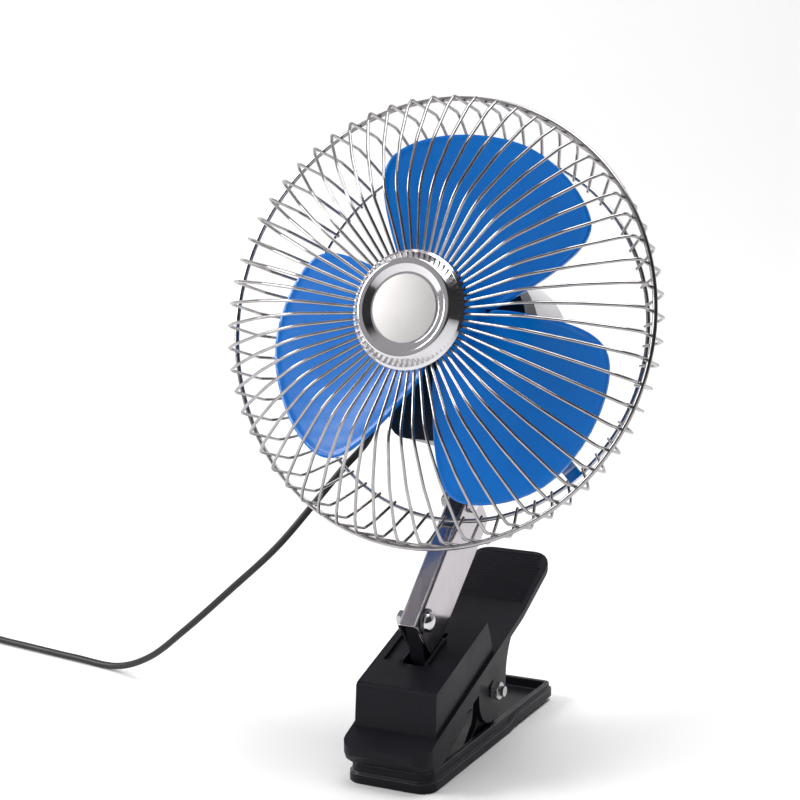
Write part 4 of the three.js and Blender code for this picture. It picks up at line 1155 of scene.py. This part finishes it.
    def tie(self) -> bpy.types.Object:
        """Make the twisted tie that holds the coil together.

        Returns:
            The tie.
        """
        place = ClampPlace().matrix()
        centre = Vector((*self.coil_centre, 0.0))
        out = Vector((math.cos(self.tie_turn), math.sin(self.tie_turn), 0.0))
        across = Vector((-out.y, out.x, 0.0))
        inner = self.coil_radius - self.coil_pitch * self.turns_in - 3.2
        outer = self.coil_radius + 3.6
        low, high = 0.35, self.diameter / MM + self.coil_layer + self.fit + 1.1
        corners = ((inner, low), (outer, low), (outer, high), (inner, high))
        loop = rounded([(x, z, self.tie_corner) for x, z in corners], 8)
        path = [place @ ((centre + out * x + Vector((0, 0, z))) * MM) for x, z in loop + loop[:1]]
        width, thick = self.tie_half_width, self.tie_half_thick
        signs = ((-1, -1), (1, -1), (1, 1), (-1, 1))
        section = rounded([(x * width, y * thick, thick * 0.9) for x, y in signs], 3)
        lean = tuple(Vector((0, 0, 1)).cross(across))
        band = Shop.swept("coil_tie", path, section, self.finishes.sheath, lean=lean)
        twist: list[Vector] = []
        middle = centre + out * (inner + outer) / 2 + Vector((0, 0, high + 0.9))
        for k in range(64):
            share = k / 63
            angle = share * 2 * math.pi * self.tie_twists
            swirl = out * math.cos(angle) * 0.9 + Vector((0, 0, 1)) * math.sin(angle) * 0.55
            twist.append(place @ ((middle + across * (share - 0.5) * self.tie_reach + swirl) * MM))
        ends = Shop.swept("coil_tie_ends", twist, circle(self.tie_wire, 8), self.finishes.sheath)
        for piece in (band, ends):
            Shop.hand_over(piece, Body.LOWER_JAW, Slot.CORD, "cord_coil")
        return band


# ---- Guard


@dataclass
class WireGuard:
    """Sixty bent wires welded to a front and a rear ring."""

    finishes: Finishes
    count: int = 60
    wire: float = 0.75
    front_radius: float = 101.9
    front_wire: float = 1.15
    rear_radius: float = 87.0
    rear_wire: float = 1.0
    rear_place: float = 37.1
    profile: tuple[tuple[float, float, float], ...] = (
        (22.0, -27.4, 0.0),
        (55.2, -35.0, 24.0),
        (77.0, -27.0, 30.0),
        (94.6, -16.4, 9.0),
        (100.4, -11.0, 5.0),
        (100.4, 17.5, 6.0),
        (96.8, 23.6, 6.0),
        (85.4, 37.4, 0.0),
    )

    def build(self) -> None:
        """Grow the guard from one wire's path with geometry nodes."""
        data = bpy.data.meshes.new("guard_wires")
        points = [(0, along * MM, radius * MM) for radius, along in rounded(self.profile, 7)]
        data.from_pydata(points, [(i, i + 1) for i in range(len(points) - 1)], [])
        piece = bpy.data.objects.new("guard_wires", data)
        bpy.context.scene.collection.objects.link(piece)
        tree = Geometry("guard_wires")
        count = tree.size("Wire count", "Int", self.count)
        thick = tree.size("Wire radius", "Float", self.wire * MM)
        curve = tree.add("GeometryNodeMeshToCurve", {"Mesh": tree.start.outputs["Geometry"]})
        wire = self.tube(tree, curve.outputs["Curve"], thick, 8)
        spots = tree.add("GeometryNodePoints", {"Count": count})
        step = tree.maths("DIVIDE", 2 * math.pi, count)
        angle = tree.maths("MULTIPLY", tree.add("GeometryNodeInputIndex").outputs[0], step)
        turn = tree.add("ShaderNodeCombineXYZ", {"Y": angle})
        wires = tree.add(
            "GeometryNodeInstanceOnPoints",
            {"Points": spots.outputs[0], "Instance": wire, "Rotation": turn.outputs[0]},
        )
        joined = tree.add("GeometryNodeJoinGeometry")
        tree.tree.links.new(wires.outputs["Instances"], joined.inputs["Geometry"])
        for name, radius, thickness, place in (
            ("Front ring", self.front_radius, self.front_wire, 0.0),
            ("Rear ring", self.rear_radius, self.rear_wire, self.rear_place),
        ):
            ring = self.ring(tree, name, radius, thickness, place)
            tree.tree.links.new(ring, joined.inputs["Geometry"])
        tree.finish(joined.outputs["Geometry"], piece, self.finishes.wire)
        piece.data.transform(HeadPlace().matrix())
        Shop.shade(piece, 50)
        Shop.hand_over(piece, Body.HEAD, Slot.CHROME, "wire_guard")

    @staticmethod
    def tube(
        tree: Geometry, curve: bpy.types.NodeSocket, radius: object, sides: int
    ) -> bpy.types.NodeSocket:
        """Sweep a round section along a curve.

        Args:
            tree: the tree that is built.
            curve: the path.
            radius: the section's radius.
            sides: the section's sides.

        Returns:
            The tube's mesh.
        """
        section = tree.add("GeometryNodeCurvePrimitiveCircle", {"Resolution": sides, "Radius": radius})
        swept = tree.add(
            "GeometryNodeCurveToMesh", {"Curve": curve, "Profile Curve": section.outputs["Curve"]}
        )
        swept.inputs["Fill Caps"].default_value = True
        return swept.outputs["Mesh"]

    def ring(
        self, tree: Geometry, name: str, radius: float, thickness: float, place: float
    ) -> bpy.types.NodeSocket:
        """Add a ring round the fan's axis.

        Args:
            tree: the tree that is built.
            name: the ring's name.
            radius: its mean radius in millimetres.
            thickness: its wire's radius.
            place: how far behind the front ring it lies.

        Returns:
            The ring's mesh.
        """
        size = tree.size(name + " radius", "Float", radius * MM)
        wire = tree.size(name + " wire", "Float", thickness * MM)
        loop = tree.add("GeometryNodeCurvePrimitiveCircle", {"Resolution": 180, "Radius": size})
        turned = tree.add(
            "GeometryNodeTransform",
            {"Geometry": loop.outputs["Curve"], "Rotation": (math.pi / 2, 0, 0)},
        )
        turned.inputs["Translation"].default_value = (0, place * MM, 0)
        return self.tube(tree, turned.outputs["Geometry"], wire, 10)


@dataclass
class GuardCap:
    """Pressed cap that covers the wires' feet, with a dished disc left bare."""

    finishes: Finishes
    rim: float = 26.6
    rim_place: float = -30.4
    crest: float = 21.6
    crest_place: float = -36.4
    dish: float = 16.2
    dish_place: float = -34.3
    sheet: float = 0.9
    disc: float = 15.2
    disc_thick: float = 0.5

    def build(self) -> None:
        """Spin the cap and lay the satin disc in its dish."""
        outside = rounded(
            [
                (0.0, self.dish_place, 0),
                (self.dish, self.dish_place, 0.9),
                (self.crest - 2.2, self.crest_place + 0.25, 1.6),
                (self.crest + 0.2, self.crest_place, 1.6),
                (self.rim - 1.2, self.rim_place - 0.9, 1.2),
                (self.rim, self.rim_place, 0),
            ],
            7,
        )
        inside = [(max(r - self.sheet * 0.5, 0.0), p + self.sheet) for r, p in outside][::-1]
        place = HeadPlace().matrix()
        cap = Shop.spun("guard_cap_shell", outside + inside, self.finishes.chrome, place, 144)
        Shop.hand_over(cap, Body.HEAD, Slot.CHROME, "guard_cap")
        top = self.dish_place - self.disc_thick
        disc = Shop.spun(
            "guard_cap_disc",
            rounded(
                [
                    (0.0, self.dish_place - 0.02, 0),
                    (self.disc, self.dish_place - 0.02, 0),
                    (self.disc, top, 0.3),
                    (0.0, top, 0),
                ],
                4,
            ),
            self.finishes.disc,
            place,
            128,
        )
        Shop.hand_over(disc, Body.HEAD, Slot.CHROME, "guard_cap")


# ---- Rotor


@dataclass
class Rotor:
    """Three blades with a raised lip round a hub."""

    finishes: Finishes
    tip: float = 87.5
    phase: float = 13.0
    thickness: float = 1.6
    rise: float = 11.5
    plane: float = 9.5
    cup: float = -3.5
    half_angle: float = 55.5
    hub: float = 17.0
    hub_back: float = 21.0
    hub_wall: float = 2.0
    lip_width: float = 2.6
    lip_height: float = 0.3
    columns: int = 90
    rows: int = 30
    edge: tuple[tuple[float, float], ...] = (
        (-1.07, 0.294),
        (-0.93, 0.464),
        (-0.84, 0.668),
        (-0.76, 0.874),
        (-0.68, 0.95),
        (-0.46, 0.985),
        (-0.17, 1.0),
        (0.118, 1.012),
        (0.34, 0.985),
        (0.572, 0.945),
        (0.74, 0.905),
        (0.79, 0.788),
        (0.87, 0.56),
        (0.91, 0.40),
        (1.0, 0.27),
    )

    def outline(self) -> np.ndarray:
        """Return the blade's edge as smooth [turn share, reach share] columns."""
        knots = np.array(self.edge)
        far = np.concatenate([[0], np.cumsum(np.hypot(*(np.diff(knots, axis=0) * (1.4, 1.0)).T))])
        marks = np.linspace(0, far[-1], self.columns)
        made = np.stack([np.interp(marks, far, knots[:, k]) for k in range(2)], axis=1)
        for _ in range(14):
            made[1:-1] = made[1:-1] * 0.5 + (made[:-2] + made[2:]) * 0.25
        return made

    def blade(self, middle: float) -> tuple[list[Point], list[Sequence[int]]]:
        """Make one blade as a closed skin.

        Args:
            middle: the direction of its middle, in degrees from straight up.

        Returns:
            Its points in metres and its faces.
        """
        edge = self.outline()
        share = 1 - (1 - np.linspace(0, 1, self.rows)) ** 1.8
        root = self.hub - self.hub_wall / 2
        turn = edge[:, 0][:, None]
        reach = edge[:, 1][:, None]
        radius = root + (reach * self.tip - root) * share[None, :]
        angle = np.radians(middle + turn * self.half_angle * (1 - (1 - share[None, :]) * 0.12))
        out = radius / self.tip
        place = self.plane + turn * self.rise * out + self.cup * (turn * turn - 0.5) * out
        x, z = radius * np.sin(angle), radius * np.cos(angle)
        rim = np.stack([x[:, -1], z[:, -1]], axis=1)
        gap = np.min(np.hypot(x[..., None] - rim[:, 0], z[..., None] - rim[:, 1]), axis=2)
        bulge = np.clip(1 - np.abs(gap - self.lip_width / 2) / (self.lip_width / 2), 0, 1)
        lift = self.lip_height * (bulge * bulge * (3 - 2 * bulge))
        near = np.stack([x, place - self.thickness / 2 - lift, z], axis=2) * MM
        far = np.stack([x, place + self.thickness / 2, z], axis=2) * MM
        points = np.concatenate([near.reshape(-1, 3), far.reshape(-1, 3)]).tolist()
        rows, columns = self.rows, self.columns
        size = rows * columns

        def at(face: int, column: int, row: int) -> int:
            """Return the number of a vertex on the near (0) or the far (1) face."""
            return face * size + column * rows + row

        faces: list[Sequence[int]] = []
        for c in range(columns - 1):
            for r in range(rows - 1):
                for f in (0, 1):
                    faces.append((at(f, c, r), at(f, c + 1, r), at(f, c + 1, r + 1), at(f, c, r + 1)))
            for r in (0, rows - 1):
                faces.append((at(0, c, r), at(0, c + 1, r), at(1, c + 1, r), at(1, c, r)))
        for r in range(rows - 1):
            for c in (0, columns - 1):
                faces.append((at(0, c, r), at(0, c, r + 1), at(1, c, r + 1), at(1, c, r)))
        return points, faces

    def build(self) -> None:
        """Make the rotor's one moulding."""
        points: list[Point] = []
        faces: list[Sequence[int]] = []
        for i in range(3):
            more, skin = self.blade(self.phase + 120 * i)
            faces += [[k + len(points) for k in face] for face in skin]
            points += more
        place = HeadPlace().matrix()
        blades = Shop.mesh("rotor_blades", points, faces, self.finishes.blue, place, 55)
        hub = Shop.spun(
            "rotor_hub",
            [
                (1.8, 0.0),
                *rounded(
                    [(self.hub - 1, 0.0, 0), (self.hub, 0.0, 1.6), (self.hub, self.hub_back, 0)], 6
                )[1:],
                (self.hub - self.hub_wall, self.hub_back),
                (self.hub - self.hub_wall, self.hub_wall),
                (5.0, self.hub_wall),
                (5.0, self.hub_back - self.hub_wall),
                (1.8, self.hub_back - self.hub_wall),
            ],
            self.finishes.blue,
            place,
            96,
        )
        Shop.hand_over(blades, Body.ROTOR, Slot.BLUE_PLASTIC, "fan_rotor")
        Shop.hand_over(hub, Body.ROTOR, Slot.BLUE_PLASTIC, "fan_rotor")


# ---- Motor


@dataclass
class MotorPod:
    """Moulded housing, chrome rear shell, guard arms and the switch."""

    finishes: Finishes
    seat: float = 40.3
    radius: float = 33.6
    shoulder: float = 84.0
    back: float = 108.0
    end_radius: float = 17.0
    sheet: float = 1.1

    def build(self) -> None:
        """Dress the pod."""
        outside = rounded(
            [
                (self.radius, self.seat, 0),
                (self.radius, self.shoulder, self.radius / 2),
                (self.end_radius, self.back, self.end_radius / 2),
                (0.0, self.back, 0),
            ],
            14,
        )
        inside = rounded(
            [
                (self.radius - self.sheet, self.seat, 0),
                (self.radius - self.sheet, self.shoulder - self.sheet / 2, self.radius / 2),
                (self.end_radius - self.sheet, self.back - self.sheet, self.end_radius / 2),
                (0.0, self.back - self.sheet, 0),
            ],
            14,
        )[::-1]
        shell = Shop.spun(
            "rear_shell_skin", outside + inside, self.finishes.chrome, HeadPlace().matrix(), 128
        )
        Shop.hand_over(shell, Body.HEAD, Slot.CHROME, "rear_shell")
        black = self.finishes.housing
        Shop.softened("motor_housing", "housing_moulding", black, 0.0007, Body.HEAD, Slot.BLACK_PLASTIC, 3)
        for i in (1, 2, 3):
            Shop.softened(
                f"guard_arm_{i}", f"arm_strip_{i}", self.finishes.chrome, 0.00025, Body.HEAD, Slot.CHROME
            )
        Shop.softened(
            "switch_bezel", "switch_frame", self.finishes.black, 0.0002, Body.HEAD, Slot.BLACK_PLASTIC
        )
        Shop.softened(
            "switch_rocker", "switch_paddle", self.finishes.black, 0.0002, Body.ROCKER, Slot.BLACK_PLASTIC
        )


# ---- Clamp and stem


@dataclass
class ClampAndStem:
    """Both jaws and the stem."""

    finishes: Finishes
    nose_back: float = 72.0
    nose_full: float = 75.0
    chin_top: float = 15.1
    chin_bottom: float = 10.1
    chin_share: float = 0.20
    groove: tuple[float, float, float, float] = (-15.8, -11.9, -46.0, -27.0)
    groove_heights: tuple[float, float] = (48.1, 54.3)

    def tuck_chin(self, form: bmesh.types.BMesh) -> None:
        """Draw the lip's lower corners in, so that its nose is round from every side.

        Args:
            form: the upper jaw's mesh, in metres.
        """
        away = ClampPlace().origin[1]
        for where, normal in (
            ((0, 0, self.chin_top * MM), (0, 0, 1)),
            ((0, 0, (self.chin_top + self.chin_bottom) / 2 * MM), (0, 0, 1)),
            ((0, away - self.nose_back * MM, 0), (0, 1, 0)),
        ):
            parts = [*form.verts, *form.edges, *form.faces]
            bmesh.ops.bisect_plane(form, geom=parts, plane_co=where, plane_no=normal)
        for vertex in form.verts:
            ahead = (away - vertex.co.y) / MM
            depth = (self.chin_top - vertex.co.z / MM) / (self.chin_top - self.chin_bottom)
            if ahead <= self.nose_back or depth <= 0:
                continue
            share = min((ahead - self.nose_back) / (self.nose_full - self.nose_back), 1.0)
            vertex.co.x *= 1 - self.chin_share * share * min(depth, 1.0) ** 2

    def groove_form(self) -> bpy.types.Object:
        """Make the form that is cut out beside the stem's foot."""
        left, right, front, back = self.groove
        low, high = self.groove_heights
        corners = [
            (x, y, z)
            for y, floor in ((front, low), (back, high))
            for x, z in ((left, floor), (right, floor), (right, floor + 9), (left, floor + 9))
        ]
        points = [[value * MM for value in corner] for corner in corners]
        faces = [(0, 1, 2, 3), (4, 7, 6, 5), (0, 4, 5, 1), (1, 5, 6, 2), (2, 6, 7, 3), (3, 7, 4, 0)]
        return Shop.mesh("groove_form", points, faces, self.finishes.black, ClampPlace().matrix())

    def build(self) -> None:
        """Round the edges of each moulded or pressed piece."""
        paint = self.finishes
        Shop.softened(
            "upper_jaw",
            "upper_jaw_moulding",
            paint.black,
            0.0006,
            Body.UPPER_JAW,
            Slot.BLACK_PLASTIC,
            3,
            self.tuck_chin,
            self.groove_form(),
            paint.edge_wear_and_highlight,
        )
        Shop.softened(
            "lower_jaw",
            "lower_jaw_moulding",
            paint.black,
            0.0005,
            Body.LOWER_JAW,
            Slot.BLACK_PLASTIC,
            3,
            edge_wear_and_highlight=paint.edge_wear_and_highlight,
        )
        Shop.softened("stem", "stem_channel", paint.stem, 0.0003, Body.STEM, Slot.CHROME, 2)


@dataclass
class Fasteners:
    """Domed screws and chamfered nuts, each along the X axis."""

    finishes: Finishes
    stem_pin: tuple[float, float] = (-47.706, 70.0)
    tilt_pin: tuple[float, float] = (2.403, 114.022)
    clamp_pin: tuple[float, float] = (-1.706, 26.0)
    shank: float = 1.9
    end_chamfer: float = 0.4
    dome_steps: int = 10
    sides: int = 72

    @staticmethod
    def place(pin: tuple[float, float]) -> Matrix:
        """Return the matrix that lays local +Y along +X through a pin at (y, z) in millimetres."""
        turn = Matrix.Rotation(-math.pi / 2, 4, "Z")
        return Matrix.Translation((0, pin[0] * MM, pin[1] * MM)) @ turn

    def screw(
        self, name: str, pin: tuple[float, float], end: float, seat: float, head: Point, node: str
    ) -> None:
        """Make a screw with a domed head.

        Args:
            name: the piece's name.
            pin: its axis (y, z) in millimetres.
            end: where its thread ends, along X.
            seat: where its head sits, along X.
            head: the head's radius and height.
            node: the CAD node that it stands for.
        """
        radius, height = head
        rim = height * 0.18
        dome = []
        for i in range(self.dome_steps + 1):
            angle = math.pi / 2 * i / self.dome_steps
            dome.append((radius * math.cos(angle), seat + rim + (height - rim) * math.sin(angle)))
        dome[-1] = (0.0, seat + height)
        profile = [
            (0.0, end),
            (self.shank - self.end_chamfer, end),
            (self.shank, end + self.end_chamfer),
            (self.shank, seat),
            (radius, seat),
            *dome,
        ]
        body = Body.UPPER_JAW if node == "stem_screw" else Body.STEM
        made = Shop.spun(name, profile, self.finishes.chrome, self.place(pin), 64)
        Shop.hand_over(made, body, Slot.CHROME, node)

    def nut(
        self, name: str, pin: tuple[float, float], flats: float, span: Point, body: Body, node: str
    ) -> None:
        """Make a hexagonal nut with turned corners.

        Args:
            name: the piece's name.
            pin: its axis (y, z) in millimetres.
            flats: its width across flats.
            span: where it starts and ends, along X.
            body: the body that it rides on.
            node: the CAD node that it stands for.
        """
        low, high = span
        face = flats * 0.48
        bore = self.shank + 0.05
        rows: list[list[Point]] = [[] for _ in range(6)]
        for i in range(self.sides):
            angle = 2 * math.pi * i / self.sides
            corner = flats / 2 / math.cos(angle % (math.pi / 3) - math.pi / 6)
            drop = (corner - face) * math.tan(math.radians(30))
            front = ((bore, low), (face, low), (corner, low + drop))
            ring = (*front, (corner, high - drop), (face, high), (bore, high))
            for row, (radius, along) in zip(rows, ring):
                row.append((radius * math.sin(angle) * MM, along * MM, radius * math.cos(angle) * MM))
        points = [point for row in rows for point in row]
        faces = skin(len(rows), self.sides, True)
        made = Shop.mesh(name, points, faces, self.finishes.zinc, self.place(pin), 20)
        Shop.hand_over(made, body, Slot.ZINC, node)

    def build(self) -> None:
        """Make both stem screws and the three nuts."""
        self.screw("stem_screw_head", self.stem_pin, -8.8, 6.3, (4.78, 3.5), "stem_screw")
        self.screw("tilt_screw_head", self.tilt_pin, -9.8, 5.3, (4.78, 3.2), "tilt_screw")
        self.nut("stem_nut_hex", self.stem_pin, 6.6, (-7.7, -5.3), Body.UPPER_JAW, "stem_nut")
        self.nut("tilt_nut_hex", self.tilt_pin, 7.0, (-8.5, -5.3), Body.STEM, "tilt_nut")
        self.nut("clamp_nut_hex", self.clamp_pin, 8.0, (19.3, 22.9), Body.LOWER_JAW, "clamp_nut")


@dataclass
class TorsionSpring:
    """The clamp's spring: a coil round the bolt with a leg on each jaw."""

    finishes: Finishes
    centre: float = 26.0
    radius: float = 7.7
    wire: float = 1.1
    length: float = 16.5
    turns: int = 6
    low_leg: float = 25.5
    low_deg: float = -40.0
    high_leg: float = 30.0
    high_deg: float = 31.0
    steps_per_turn: int = 40

    def route(self) -> list[Vector]:
        """Return the wire's centreline in metres, from the lower leg to the upper one."""
        start = math.radians(self.low_deg) - math.pi / 2
        end = math.radians(self.high_deg) + math.pi / 2
        sweep = 2 * math.pi * (self.turns + 1) + start - end
        steps = round(sweep / (2 * math.pi) * self.steps_per_turn)
        points = []
        for i in range(steps + 1):
            angle = start - sweep * i / steps
            across = (i / steps - 0.5) * self.length
            y, z = self.radius * math.cos(angle), self.radius * math.sin(angle)
            points.append(Vector((across, y, z)))
        low, high = (
            Vector((0, math.cos(math.radians(turn)), math.sin(math.radians(turn))))
            for turn in (self.low_deg, self.high_deg)
        )
        first = [points[0] + low * self.low_leg * k / 10 for k in range(10, 0, -1)]
        last = [points[-1] + high * self.high_leg * k / 10 for k in range(1, 11)]
        place = ClampPlace().matrix() @ Matrix.Translation((0, 0, self.centre * MM))
        return [place @ (point * MM) for point in first + points + last]

    def build(self) -> None:
        """Wind the spring between the jaws; it rides on neither."""
        section = circle(self.wire * MM, 12)
        coil = Shop.swept("torsion_spring", self.route(), section, self.finishes.spring)
        Shop.shade(coil, 60)
        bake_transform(coil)
        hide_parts("clamp_spring")
        log.info("torsion_spring: %d faces", len(coil.data.polygons))


class Leftovers:
    """Finishes for the CAD nodes whose shape is already right."""

    def __init__(self, finishes: Finishes) -> None:
        """Match each node to a finish.

        Args:
            finishes: the fan's finishes.
        """
        self.finish_of = {
            "lower_grip_pad": finishes.rubber,
            "upper_grip_pad": finishes.rubber,
            "clamp_bolt": finishes.zinc,
            "spring_sleeve": finishes.black,
            # The washer is dark partly to paint the shadow ring round the screw head.
            "stem_washer": finishes.dark,
            "cap_back": finishes.chrome,
            "cap_screw": finishes.zinc,
            "motor_shaft": finishes.steel,
            "motor_can": finishes.steel,
            "front_bush": finishes.bronze,
            "rear_bush": finishes.bronze,
            "arm_screw_1": finishes.zinc,
            "arm_screw_2": finishes.zinc,
            "arm_screw_3": finishes.zinc,
            "plug_body": finishes.black,
            "plug_nose": finishes.black,
            "plug_tip": finishes.zinc,
            "plug_contact_1": finishes.zinc,
            "plug_contact_2": finishes.zinc,
        }

    def dress(self) -> None:
        """Put each finish on its node."""
        for node, material in self.finish_of.items():
            for slot in bpy.data.objects[node].material_slots:
                slot.material = material
            log.info("%s: dressed in %s", node, material.name)


def main() -> None:
    """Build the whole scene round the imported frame."""
    logging.basicConfig(level=logging.INFO, format="%(message)s")
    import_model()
    Studio().build()
    finishes = Finishes()
    Lead(finishes).build()
    WireGuard(finishes).build()
    GuardCap(finishes).build()
    Rotor(finishes).build()
    MotorPod(finishes).build()
    ClampAndStem(finishes).build()
    Fasteners(finishes).build()
    TorsionSpring(finishes).build()
    Leftovers(finishes).dress()


if __name__ == "__main__":
    main()
